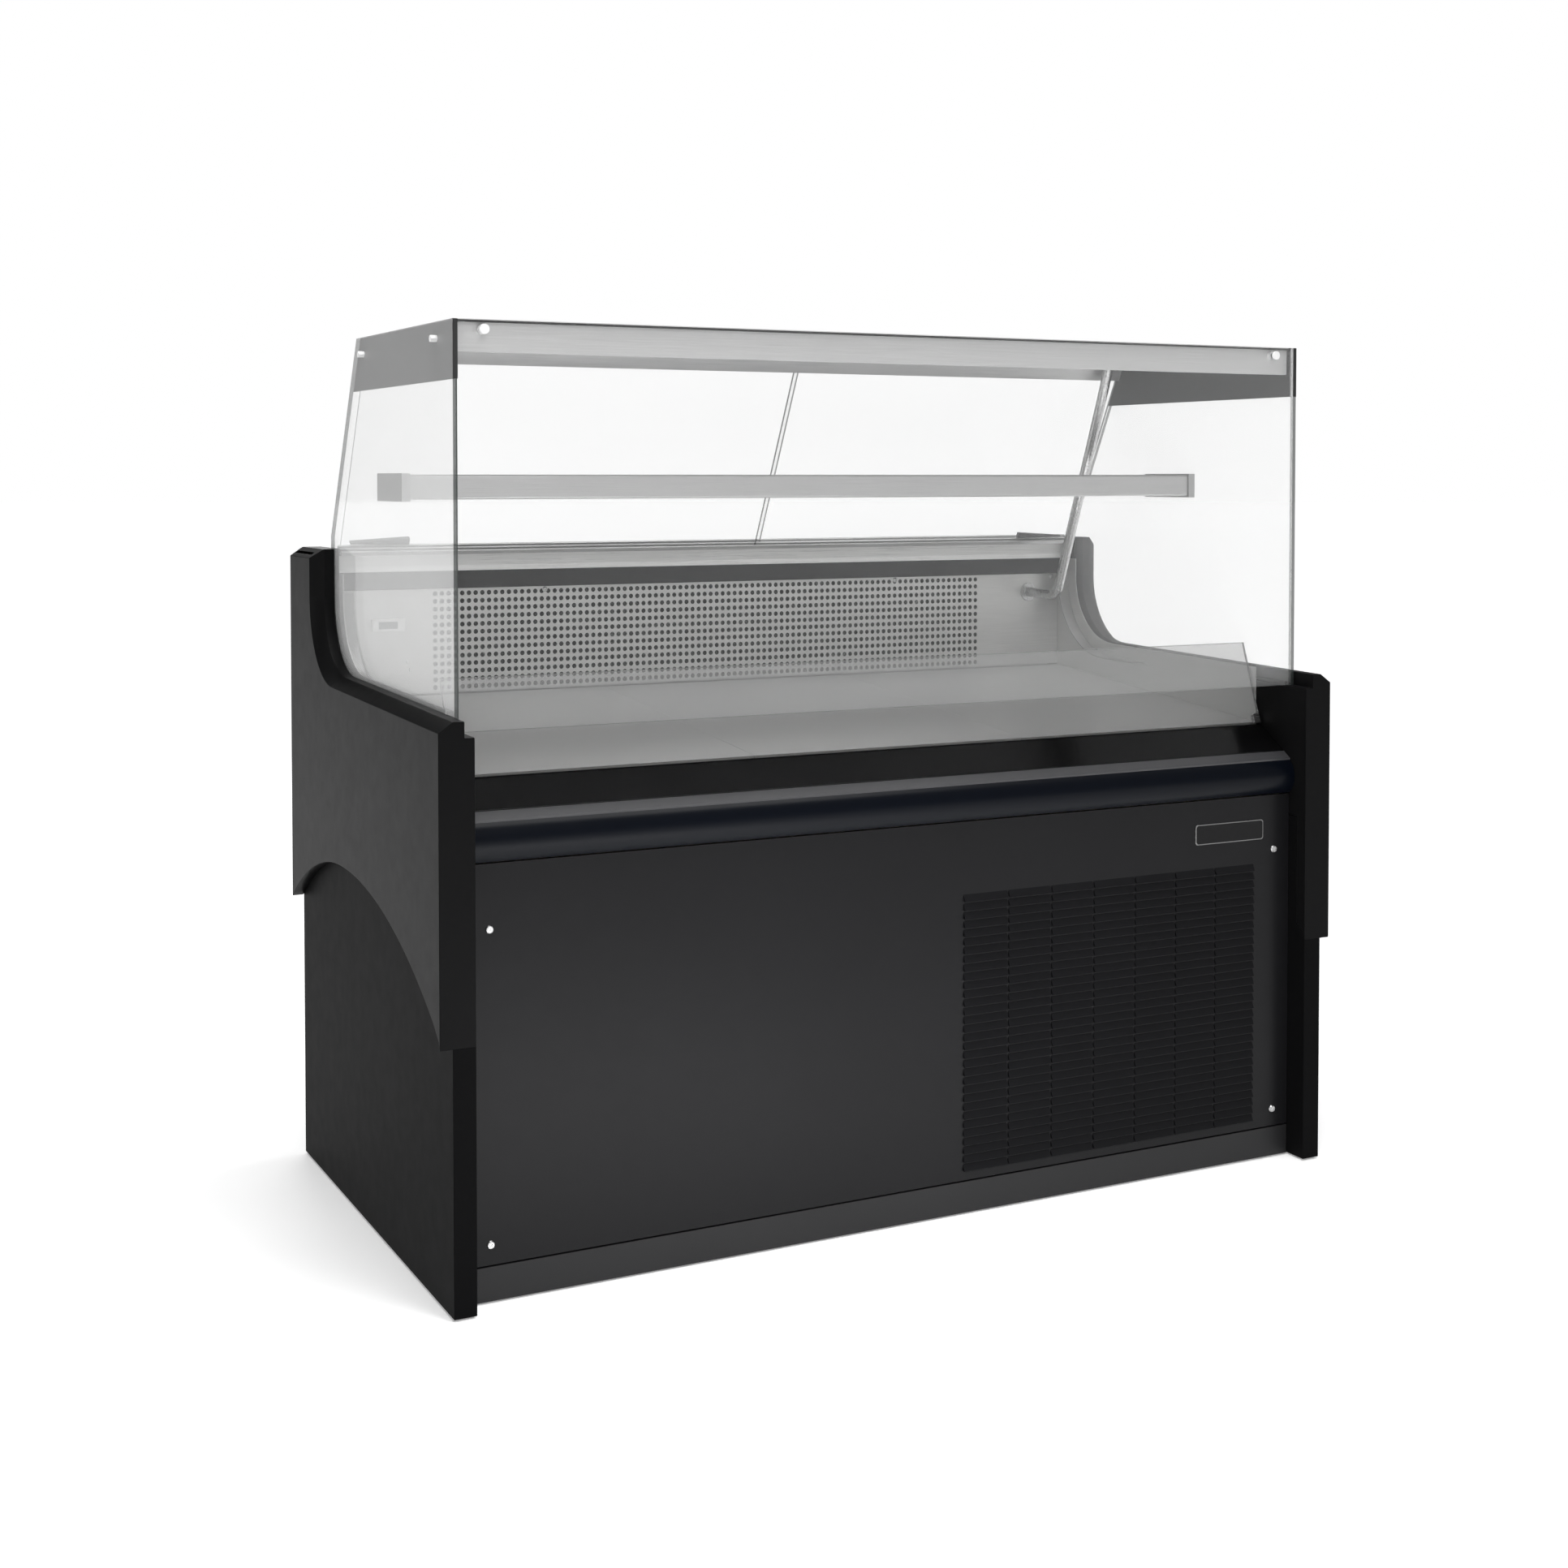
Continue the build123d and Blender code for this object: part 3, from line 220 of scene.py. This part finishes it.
GLASS_EDGE = (0.03, 0.036, 0.034)
material = {
    "wall": coated("wall_moulding", (0.004, 0.004, 0.0042), 0.42, 1200, 0.03, specular_ior_level=0.05),
    "base": coated("lower_side_coat", (0.0034, 0.0034, 0.0036), 0.5, 1200, 0.03, specular_ior_level=0.02),
    "panel": coated("front_panel_coat", (0.006, 0.006, 0.0067), 0.3, 1200, 0.03, specular_ior_level=0.14),
    "plinth": coated("kickplate_coat", (0.011, 0.011, 0.0117), 0.44, 1200, 0.03, specular_ior_level=0.25),
    "apron": coated("apron_gloss", (0.003, 0.003, 0.0032), 0.16, 240, 0.02, specular_ior_level=0.26),
    # The carrier's colour, lighter than the apron, is partly painted highlight where the strip catches light.
    "carrier": coated("carrier_satin_painted_highlight", (0.04, 0.04, 0.043), 0.34, 900, 0.03),
    "bumper": coated("bumper_extrusion", (0.0014, 0.0022, 0.0044), 0.3, 700, 0.01, specular_ior_level=0.12),
    "steel": brushed("deck_steel", (0.62, 0.62, 0.61), 0.36, 0, metallic=0.7),
    "liner": brushed("liner_steel", (0.6, 0.6, 0.59), 0.42, 0, metallic=0.7),
    "side_liner": brushed("side_liner_steel", (0.56, 0.56, 0.55), 0.42, 1, metallic=0.7),
    "trim": brushed("liner_trim_steel", (0.34, 0.34, 0.335), 0.38, 1, metallic=0.7),
    "perforated": brushed("perforated_steel", (0.68, 0.68, 0.67), 0.44, 0, bump=0.02, metallic=0.6),
    "worktop": brushed("worktop_steel", (0.9, 0.9, 0.89), 0.32, 0, metallic=0.25, bump=0.03),
    # Near-black rough sheet: painted shade behind the perforated panel, and the dark sheet behind the
    # louvres.
    "black_sheet": coated("matt_dark_backing", (0.009, 0.009, 0.009), 0.9, 260, 0.6, 0.2),
    # The nose's near-black colour is painted shade on the stainless nose seen from below.
    "nose": coated("nose_painted_shade", (0.012, 0.012, 0.012), 0.45, 600, specular_ior_level=0.2),
    "roof": brushed("roof_satin", (0.52, 0.52, 0.52), 0.5, 0, metallic=0.35, bump=0.03),
    "end_print": coated("end_print", (0.012, 0.012, 0.012), 0.38, 300, 0.02, specular_ior_level=0.25),
    "light": brushed("light_bar_anodised", (0.5, 0.5, 0.5), 0.42, 0, metallic=0.6),
    "bracket": brushed("bracket_anodised", (0.42, 0.42, 0.42), 0.4, 1, metallic=0.6),
    "diffuser": coated("opal_diffuser", (0.82, 0.82, 0.8), 0.5, 260, 0.05, 0.02, 0.04, 0.0,
                       subsurface_weight=0.2),
    "tracks": brushed("track_anodised", (0.5, 0.5, 0.5), 0.4, 0, metallic=0.8),
    "tube": brushed("tube_steel", (0.45, 0.45, 0.45), 0.27, 2, bump=0.03),
    "screw": brushed("screw_steel", (0.62, 0.62, 0.62), 0.28, 0),
    "fixing": brushed("fixing_steel", (0.86, 0.86, 0.86), 0.45, 2, metallic=0.3),
    "badge": brushed("badge_rim", (0.2, 0.2, 0.2), 0.3, 0),
    "zinc": coated("zinc_plate", (0.42, 0.42, 0.43), 0.42, 90, 0.08, 0.2, 0.1, 0.9),
    "fins": brushed("fin_aluminium", (0.62, 0.62, 0.63), 0.4, 2),
    "blades": brushed("blade_aluminium", (0.5, 0.5, 0.51), 0.38, 0),
    "rubber": coated("gasket_rubber", (0.006, 0.006, 0.006), 0.62, 500, 0.15),
    "black_plastic": coated("black_plastic", (0.011, 0.011, 0.011), 0.42, 420, 0.12),
    "gloss_black": coated("gloss_black_plastic", (0.004, 0.004, 0.0044), 0.2, 260, 0.04,
                          specular_ior_level=0.16),
    "white_plastic": coated("white_plastic", (0.92, 0.92, 0.91), 0.3, 300, 0.05, 0.03),
    "foam": coated("rigid_foam", (0.72, 0.64, 0.42), 0.8, 260, 0.5, 0.1),
    "enamel": coated("compressor_enamel", (0.008, 0.008, 0.008), 0.2, 60, 0.08, 0.1, 0.06),
    "copper": coated("copper_tube", (0.62, 0.26, 0.13), 0.3, 60, 0.05, 0.25, 0.1, 1.0),
    "lcd": coated("lcd_glass", (0.1, 0.12, 0.12), 0.22, 500, 0.02, 0.05),
    "lcd_mark": coated("lcd_segments", (0.03, 0.035, 0.035), 0.35, 500, 0.02),
    "led": coated("led_segments", (0.6, 0.02, 0.01), 0.3, 500, 0.02, emission_strength=1.6,
                  emission_color=(1, 0.05, 0.02, 1)),
    "print": coated("white_print", (0.7, 0.7, 0.7), 0.5, 500, 0.03, 0.04),
    "plate": brushed("rating_plate", (0.6, 0.6, 0.6), 0.35, 0),
    # The side, front and rear panes' near-white tints are painted reflection; the low pane's grey is partly
    # its own tint and partly painted reflection.
    "side_pane": pane("side_pane_glass", (1, 0, 0), 0.03, 0.62, GLASS_EDGE, (0.97, 0.975, 0.975)),
    "front_pane": pane("front_pane_glass", (0, 1, 0), 0.025, 0.9, GLASS_EDGE, (0.93, 0.94, 0.94)),
    "rear_pane": pane("rear_pane_glass", (0, 0.892, 0.452), 0.04, 0.9, GLASS_EDGE, (0.9, 0.91, 0.91)),
    "low_pane": pane("low_pane_glass", (0, 0.945, -0.326), 0.26, 0.95,
                     (0.04, 0.045, 0.044), (0.33, 0.33, 0.33)),
}

NODE_MATERIALS = {
    "wall": ("side_wall_left", "side_wall_right"),
    "base": ("side_base_left", "side_base_right"),
    "panel": ("front_panel", "rear_panels"),
    "plinth": ("kickplate",),
    "apron": ("front_apron",),
    "carrier": ("bumper_carrier",),
    "bumper": ("bumper_rail",),
    "steel": ("deck_pan_1", "deck_pan_2", "deck_pan_3"),
    "liner": ("tank_liner", "fan_shroud"),
    "side_liner": ("liner_sides",),
    "perforated": ("rear_air_panel",),
    "worktop": ("worktop",),
    "nose": ("worktop_nose",),
    "roof": ("roof_tray",),
    "end_print": ("end_plates",),
    "light": ("light_bar",),
    "bracket": ("light_bar_brackets",),
    "diffuser": ("light_diffuser",),
    "tracks": ("door_tracks",),
    "tube": ("cable_tube",),
    "screw": ("panel_screws",),
    "fixing": ("glass_fixings",),
    "badge": ("badge_plate",),
    "zinc": ("base_frame", "condenser_shroud", "unit_tray"),
    "fins": ("evaporator_coil", "condenser_coil"),
    "blades": ("condenser_fan_rotor",),
    "black_plastic": ("fan_rotor_1", "fan_rotor_2", "fan_motors", "condenser_motor", "levelling_feet",
                      "mains_gland", "pane_grip_left", "pane_grip_right", "switch_housings",
                      "controller_button_1", "controller_button_2", "controller_button_3"),
    "gloss_black": ("controller", "rocker_1", "rocker_2"),
    "white_plastic": ("thermometer",),
    "foam": ("tank_insulation",),
    "enamel": ("compressor",),
    "copper": ("refrigerant_pipes",),
    "side_pane": ("side_glass_left", "side_glass_right"),
    "front_pane": ("front_glass",),
    "rear_pane": ("rear_pane_left", "rear_pane_right"),
    "low_pane": ("low_glass",),
}
for key, names in NODE_MATERIALS.items():
    for name in names:
        nodes[name].data.materials.clear()
        nodes[name].data.materials.append(material[key])

# Width of the rounded edges, and the sheet and moulded nodes that have them.
SOFTENED = {
    0.9: ("side_wall_left", "side_wall_right", "side_base_left", "side_base_right", "light_bar", "worktop",
          "worktop_nose"),
    0.4: ("kickplate", "bumper_carrier", "front_apron", "thermometer", "controller", "switch_housings",
          "pane_grip_left", "pane_grip_right", "light_bar_brackets", "door_tracks", "badge_plate"),
}
for width, names in SOFTENED.items():
    for name in names:
        weld = nodes[name].modifiers.new("weld", "WELD")
        weld.merge_threshold = 0.00002
        edge = nodes[name].modifiers.new("edge", "BEVEL")
        edge.width = width * MM
        edge.segments = 2
        edge.loop_slide = False
        edge.limit_method = "ANGLE"
        edge.angle_limit = math.radians(28)
        edge.harden_normals = True


# --- mesh helpers -------------------------------------------------------------------------------------------
X, Y, Z = Vector((1, 0, 0)), Vector((0, 1, 0)), Vector((0, 0, 1))
SHARP = 0.6                     # radians between two faces, from which their edge counts as sharp


def settle(name, data, look, body):
    """Puts a mesh or curve into the scene as a piece with its look, riding on a body."""
    data.materials.append(material[look])
    made = bpy.data.objects.new(name, data)
    bpy.context.scene.collection.objects.link(made)
    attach(made, body)


def piece(name, mesh, look, body="case", bevel=0.0):
    """Makes a finished piece of a bmesh, with its edges rounded by bevel mm, and lets it ride on a body."""
    if bevel:
        bmesh.ops.bevel(mesh, geom=[e for e in mesh.edges if e.calc_face_angle(0) > SHARP], offset=bevel * MM,
                        segments=2, profile=0.5, affect="EDGES")
    bmesh.ops.recalc_face_normals(mesh, faces=mesh.faces)
    data = bpy.data.meshes.new(name)
    mesh.to_mesh(data)
    mesh.free()
    data.shade_smooth()
    data.set_sharp_from_angle(angle=SHARP)
    settle(name, data, look, body)


def loft(mesh, rings):
    """Skins a list of equal rings of points and caps both ends."""
    made = [[mesh.verts.new(point) for point in ring] for ring in rings]
    for near, far in zip(made, made[1:]):
        for index in range(len(near)):
            after = (index + 1) % len(near)
            mesh.faces.new((near[index], near[after], far[after], far[index]))
    mesh.faces.new(made[0][::-1])
    mesh.faces.new(made[-1])


def across_x(mesh, outline, x):
    """Prism between the pair x over an outline of (depth, height) points in mm."""
    loft(mesh, [[at(value, d, z) for d, z in outline] for value in x])


def rectangle(depth, height):
    """Outline of (depth, height) points over a pair of depths and a pair of heights."""
    return [(depth[0], height[0]), (depth[1], height[0]), (depth[1], height[1]), (depth[0], height[1])]


def slab(mesh, centre, axes, sizes):
    """Block about a centre in metres, with its sizes in mm along three axes."""
    u, v, w = (Vector(axis) * size * MM / 2 for axis, size in zip(axes, sizes))
    loft(mesh, [[centre + side * w + a * u + b * v for a, b in ((-1, -1), (1, -1), (1, 1), (-1, 1))]
                for side in (-1, 1)])


def lathe(mesh, profile, centre, axis, segments=SCREW_SIDES):
    """Turned piece: profile holds (radius, height along the axis) in mm, from one end to the other."""
    turn = Vector(axis).to_track_quat("Z", "Y").to_matrix()
    angles = [2 * math.pi * k / segments for k in range(segments)]
    loft(mesh, [[centre + turn @ Vector((radius * math.cos(angle), radius * math.sin(angle), height)) * MM
                 for angle in angles] for radius, height in profile])


def tube(name, points, radius, look):
    """Round tube or wire of the case through points in metres, with eased corners."""
    curve = bpy.data.curves.new(name, "CURVE")
    curve.dimensions = "3D"
    curve.bevel_depth = radius * MM
    curve.bevel_resolution = 3
    curve.resolution_u = 8
    curve.use_fill_caps = True
    spline = curve.splines.new("BEZIER")
    spline.bezier_points.add(len(points) - 1)
    for point, place in zip(spline.bezier_points, points):
        point.co = place
        point.handle_left_type = point.handle_right_type = "AUTO"
    settle(name, curve, look, "case")


def ledge(inset, front, top, steps=16):
    """Points of the side wall's upper edge, moved into the wall by inset, from depth front to height top."""
    lean = math.atan2(LEDGE_BEND[1] - LEDGE_FRONT, LEDGE_BEND[0])
    centre = (LEDGE_BEND[0] - BEND_R * math.sin(lean), LEDGE_BEND[1] + BEND_R * math.cos(lean))
    radius = BEND_R + inset
    angles = [lean - math.pi / 2 + (math.pi / 2 - lean) * k / steps for k in range(steps + 1)]
    bend = [(centre[0] + radius * math.cos(a), centre[1] + radius * math.sin(a)) for a in angles]
    start = (front, bend[0][1] - (bend[0][0] - front) * math.tan(lean))
    return [start, *bend, (bend[-1][0], top)]


def strip(mesh, path, normals_up, x):
    """Band between the pair x along a (depth, height) path, normals_up mm thick towards the open side."""
    rings = []
    for index, point in enumerate(path):
        before, after = path[max(index - 1, 0)], path[min(index + 1, len(path) - 1)]
        run = math.dist(before, after)
        up = (-(after[1] - before[1]) / run * normals_up, (after[0] - before[0]) / run * normals_up)
        lifted = (point[0] + up[0], point[1] + up[1])
        rings.append([at(x[0], *point), at(x[1], *point), at(x[1], *lifted), at(x[0], *lifted)])
    loft(mesh, rings)


SEGMENTS = {"a": ((0, 2), (1, 2)), "b": ((1, 1), (1, 2)), "c": ((1, 0), (1, 1)), "d": ((0, 0), (1, 0)),
            "e": ((0, 0), (0, 1)), "f": ((0, 1), (0, 2)), "g": ((0, 1), (1, 1))}
DIGITS = {"2": "abged", "5": "afgcd"}


def digit(mesh, figure, origin, right, width, height, stroke):
    """Seven-segment digit with its lower left corner at origin, as thick as FILM."""
    out = right.cross(Z)
    for segment in DIGITS[figure]:
        (u0, v0), (u1, v1) = SEGMENTS[segment]
        low = Vector((u0 * width, v0 * height / 2))
        high = Vector((u1 * width, v1 * height / 2))
        along = (high - low).normalized()
        side = Vector((-along.y, along.x)) * stroke / 2
        low, high = low + along * stroke * 0.6, high - along * stroke * 0.6
        tip = along * stroke * 0.45
        outline = [low - tip, low - side, high - side, high + tip, high + side, low + side]
        loft(mesh, [[origin + (right * p.x + Z * p.y + out * lift) * MM for p in outline]
                    for lift in (0, FILM)])


# --- canopy -------------------------------------------------------------------------------------------------
for side_name, side in (("left", -1), ("right", 1)):
    mesh = bmesh.new()
    across_x(mesh, rectangle(*CORNER_STRIP), (side * GLASS_X, side * (GLASS_X + PANE)))
    piece(f"corner_strip_{side_name}", mesh, "rubber")

    mesh = bmesh.new()
    path = ledge(REBATE_H - 0.3, PANE_GASKET["front"], PANE_GASKET["top"])
    strip(mesh, path, PANE_GASKET["thick"], [side * (GLASS_X - inward) for inward in PANE_GASKET["wide"]])
    piece(f"pane_gasket_{side_name}", mesh, "rubber", bevel=0.8)

    mesh = bmesh.new()
    path = ledge(LEDGE_TRIM["inset"], LEDGE_TRIM["front"], LEDGE_TRIM["top"], steps=22)
    strip(mesh, path, LEDGE_TRIM["thick"], [side * (INNER - inward) for inward in LEDGE_TRIM["wide"]])
    piece(f"liner_trim_{side_name}", mesh, "trim", bevel=0.3)

mesh = bmesh.new()
across_x(mesh, rectangle(*ROOF_GASKET), (0.5 - GLASS_X, GLASS_X - 0.5))
piece("roof_gasket", mesh, "rubber", bevel=0.5)

glass_run = Vector((0, LOW_GLASS[1][0] - LOW_GLASS[0][0], LOW_GLASS[1][1] - LOW_GLASS[0][1])).normalized()
glass_out = Vector((0, -glass_run.z, glass_run.y))
glass_foot = at(0, *LOW_GLASS[0]) - glass_out * LOW_GLASS_T / 2 * MM
clip_axes = (X, glass_run, glass_out)
clip_w, clip_h, clip_t = (LOW_GLASS_CLIP[key] for key in ("wide", "high", "thick"))
cheek = (LOW_GLASS_T + clip_t) / 2 + 0.2
mesh = bmesh.new()
for clip_x in (-LOW_GLASS_CLIP["x"], LOW_GLASS_CLIP["x"]):
    for face in (-1, 1):
        slab(mesh, glass_foot + X * clip_x * MM + (glass_run * clip_h / 2 + glass_out * face * cheek) * MM,
             clip_axes, (clip_w, clip_h, clip_t))
    slab(mesh, glass_foot + (X * clip_x - glass_run * 0.7) * MM, clip_axes,
         (clip_w, clip_t, 2 * cheek + clip_t))
piece("low_glass_clips", mesh, "screw", bevel=0.2)

# A dark sheet behind the perforated panel stands in for the shade inside the air duct: painted shade.
mesh = bmesh.new()
across_x(mesh, rectangle(*DUCT_SHADE_SHEET[:2]), (-DUCT_SHADE_SHEET[2], DUCT_SHADE_SHEET[2]))
piece("air_duct_painted_shade", mesh, "black_sheet", bevel=0.3)

# A dark sheet behind the front louvres.
mesh = bmesh.new()
across_x(mesh, rectangle(*LOUVRE_SHEET[:2]), LOUVRE_SHEET[2])
piece("louvre_dark_sheet", mesh, "black_sheet", bevel=0.3)

# --- displays and controls ----------------------------------------------------------------------------------
mesh = bmesh.new()
slab(mesh, at(LCD["x"], AIR_PANEL_D - LCD["proud"], LCD["z"]), (X, Z, -Y), (*LCD["size"], FILM))
piece("thermometer_lcd", mesh, "lcd")
mesh = bmesh.new()
lcd_low, lcd_high = LCD["z"] - LCD_MARK["rise"], LCD["z"] + LCD_MARK["rise"]
digit(mesh, "2", at(LCD["x"] + LCD_MARK["right"], AIR_PANEL_D - LCD["proud"] - 0.08, lcd_low), X, *LCD_FIGURE)
for mark_z in (lcd_low, lcd_high):
    slab(mesh, at(LCD["x"] - LCD_MARK["left"], AIR_PANEL_D - LCD["proud"] - FILM, mark_z),
         (X, Z, -Y), (3.2, 1.1, FILM))
piece("thermometer_digits", mesh, "lcd_mark")

mesh = bmesh.new()
for figure, figure_x in CONTROLLER_DIGITS:
    digit(mesh, figure, at(figure_x, PANEL_BACK + CONTROLLER_PROUD, CONTROL_Z - 5), -X, *LED_FIGURE)
piece("controller_digits", mesh, "led")

for number, button_x in enumerate(BUTTON_X, 1):
    mesh = bmesh.new()
    face = at(button_x, PANEL_BACK + BUTTON_PROUD, CONTROL_Z)
    if number == 2:
        slab(mesh, face, (X, Z, Y), (1.8, 1.8, 0.08))
    else:
        half, tip = ARROW[0], ARROW[1] if number == 1 else -ARROW[1]
        corners = ((-half, -tip), (half, -tip), (0, tip))
        loft(mesh, [[face + (X * u + Z * v + Y * lift) * MM for u, v in corners] for lift in (-0.04, 0.04)])
    piece(f"button_mark_{number}", mesh, "print", f"button_{number}")

ROCKER_REST = Matrix.Rotation(math.radians(ROCKER_LEAN), 3, "X")
for number, rocker_x in enumerate(ROCKER_X, 1):
    hub = at(rocker_x, ROCKER_D, CONTROL_Z)
    mesh = bmesh.new()
    slab(mesh, hub + ROCKER_REST @ (Vector((0, MARK_D, MARK_Z)) * MM),
         (X, ROCKER_REST @ Vector((0, 0.18, 0.98)), ROCKER_REST @ Vector((0, 0.98, -0.18))), (0.8, 4, 0.12))
    for k in range(RING_DOTS):
        angle = 2 * math.pi * k / RING_DOTS
        spot = Vector((RING_R * math.cos(angle), MARK_D, -MARK_Z + RING_R * math.sin(angle)))
        slab(mesh, hub + ROCKER_REST @ (spot * MM), (X, ROCKER_REST @ Z, ROCKER_REST @ Y), (0.9, 0.9, 0.14))
    piece(f"rocker_mark_{number}", mesh, "print", f"rocker_switch_{number}")

# --- badge, screws and plates -------------------------------------------------------------------------------
mesh = bmesh.new()
badge_outline = []
for corner, (sx, sz) in enumerate(((1, 1), (-1, 1), (-1, -1), (1, -1))):
    for k in range(BADGE["steps"] + 1):
        angle = math.pi / 2 * (corner + k / BADGE["steps"])
        badge_outline.append((BADGE["x"] + sx * BADGE["reach"][0] + BADGE["corner"] * math.cos(angle),
                              BADGE["z"] + sz * BADGE["reach"][1] + BADGE["corner"] * math.sin(angle)))
loft(mesh, [[at(x, d, z) for x, z in badge_outline] for d in BADGE["d"]])
piece("badge_face", mesh, "gloss_black", bevel=0.1)

mesh = bmesh.new()
for x in REAR_SCREW_X:
    for z in UPPER_SCREW_Z:
        lathe(mesh, SCREW_PROFILE, at(x, PANEL_BACK - UPPER_PANEL_SET, z), Y)
    for z in LOWER_SCREW_Z:
        lathe(mesh, SCREW_PROFILE, at(x, PANEL_BACK, z), Y)
piece("rear_screws", mesh, "screw")
mesh = bmesh.new()
for x, z in AIR_SCREWS:
    lathe(mesh, SCREW_PROFILE, at(x, AIR_PANEL_D, z), -Y)
piece("air_panel_screws", mesh, "screw")

mesh = bmesh.new()
slab(mesh, at(RATING_PLATE["x"], PANEL_BACK - 0.5, RATING_PLATE["z"]), (X, Z, Y), RATING_PLATE["size"])
piece("rating_plate", mesh, "plate", bevel=0.15)

# --- machinery ----------------------------------------------------------------------------------------------
def hairpins(name, x, turns):
    """Copper return bends on both ends of a coil; turns holds the two (depth, height) ends of each bend."""
    for end, (end_x, out) in enumerate(((x[0], -1), (x[1], 1))):
        for number, (low, high) in enumerate(turns[end]):
            middle = ((low[0] + high[0]) / 2, (low[1] + high[1]) / 2)
            reach = math.dist(low, high) / 2
            tube(f"{name}_{'ab'[end]}{number}", [at(end_x + out, *low), at(end_x + out * reach * 0.8, *low),
                 at(end_x + out * (reach * 1.3 + 3), *middle), at(end_x + out * reach * 0.8, *high),
                 at(end_x + out, *high)], COPPER_R, "copper")


low_z, middle_z, high_z = EVAPORATOR_BENDS
hairpins("evaporator_bend", EVAPORATOR_X, [[((d, low_z), (d, middle_z)) for d in EVAPORATOR_ROWS],
                                           [((d, middle_z), (d, high_z)) for d in EVAPORATOR_ROWS]])


def condenser_turns(lowest):
    """Ends of every second bend of the condenser, from the lowest height up."""
    return [((CONDENSER_ROW, z), (CONDENSER_ROW, z + CONDENSER_BEND))
            for z in range(lowest, CONDENSER_TOP, 2 * CONDENSER_BEND)]


hairpins("condenser_bend", CONDENSER_X,
         [condenser_turns(lowest) for lowest in (CONDENSER_LOW, CONDENSER_LOW + CONDENSER_BEND)])

mesh = bmesh.new()
slab(mesh, at(*TERMINAL_BOX[0]), (X, Y, Z), TERMINAL_BOX[1])
piece("compressor_terminal_box", mesh, "black_plastic", bevel=3)
tube("compressor_lead", [at(*point) for point in LEAD_PATH], LEAD_R, "rubber")

# --- stage, light and camera --------------------------------------------------------------------------------
mesh = bmesh.new()
rim = [2 * math.pi * k / FLOOR_RIM for k in range(FLOOR_RIM)]
loft(mesh, [[Vector((FLOOR_R * math.cos(angle), FLOOR_R * math.sin(angle), height)) for angle in rim]
            for height in (-FLOOR_DROP - FLOOR_T, -FLOOR_DROP)])
floor_data = bpy.data.meshes.new("floor")
mesh.to_mesh(floor_data)
mesh.free()
floor = bpy.data.objects.new("floor", floor_data)
bpy.context.scene.collection.objects.link(floor)
paint = Shader("floor_paint", emission_color=(1, 1, 1, 1))
paint.base(paint.colours(paint.noise(3, 3), (0.88, 0.88, 0.88), (0.92, 0.92, 0.92)))
paint.rough(paint.ranged(paint.noise(20, 4), 0.55, 0.65))
from_middle = paint.tree.nodes.new("ShaderNodeVectorMath")
from_middle.operation = "LENGTH"
paint.link(paint.place, from_middle.inputs[0])
glow = paint.ranged(from_middle.outputs["Value"], 0.26, 0.74, 1.6, 4.5)
paint.link(glow, paint.principled.inputs["Emission Strength"])
floor_data.materials.append(paint.material)

world = bpy.data.worlds.new("studio")
bpy.context.scene.world = world
world.use_nodes = True
world_tree = world.node_tree
background = world_tree.nodes["Background"]
seen = world_tree.nodes.new("ShaderNodeLightPath")
brightness = world_tree.nodes.new("ShaderNodeMix")
world_tree.links.new(seen.outputs["Is Camera Ray"], brightness.inputs["Factor"])
brightness.inputs["A"].default_value = 0.3
brightness.inputs["B"].default_value = 1.0
world_tree.links.new(brightness.outputs["Result"], background.inputs["Strength"])
background.inputs["Color"].default_value = (1, 1, 1, 1)


def lamp(name, place, target, size, power, mirrored=True):
    """Soft rectangular lamp at a place, in metres, facing a target; mirrored lets glossy surfaces show it."""
    data = bpy.data.lights.new(name, "AREA")
    data.shape = "RECTANGLE"
    data.size, data.size_y = size
    data.energy = power
    made = bpy.data.objects.new(name, data)
    bpy.context.scene.collection.objects.link(made)
    made.location = place
    made.visible_camera = False
    made.visible_glossy = mirrored
    made.rotation_euler = (Vector(target) - Vector(place)).to_track_quat("-Z", "Y").to_euler()


lamp("key", (-0.9, -3.4, 2.8), (-0.4, -0.6, 0.2), (1.6, 1.6), 34)
lamp("top", (0, -0.3, 3.4), (0, 0, 0.7), (3.2, 2.4), 120)
lamp("left_fill", (-4.4, -0.4, 1.6), (0, 0, 0.9), (1.8, 2.2), 20)
lamp("floor_glow", (-0.2, -1.35, 0.8), (-0.2, -1.35, 0), (0.6, 0.6), 22, mirrored=False)
lamp("rear", (1.2, 4.2, 2.4), (0, 0, 0.8), (3.0, 2.2), 50)

camera_data = bpy.data.cameras.new("camera")
camera = bpy.data.objects.new("camera", camera_data)
bpy.context.scene.collection.objects.link(camera)
camera.location = CAMERA_PLACE
camera.rotation_euler = [math.radians(angle) for angle in CAMERA_TURN]
camera_data.sensor_width = CAMERA_SENSOR
camera_data.lens = CAMERA_LENS
camera_data.shift_y = CAMERA_SHIFT
camera_data.clip_start, camera_data.clip_end = 0.05, 100
bpy.context.scene.camera = camera
bpy.context.scene.view_settings.view_transform = "Standard"
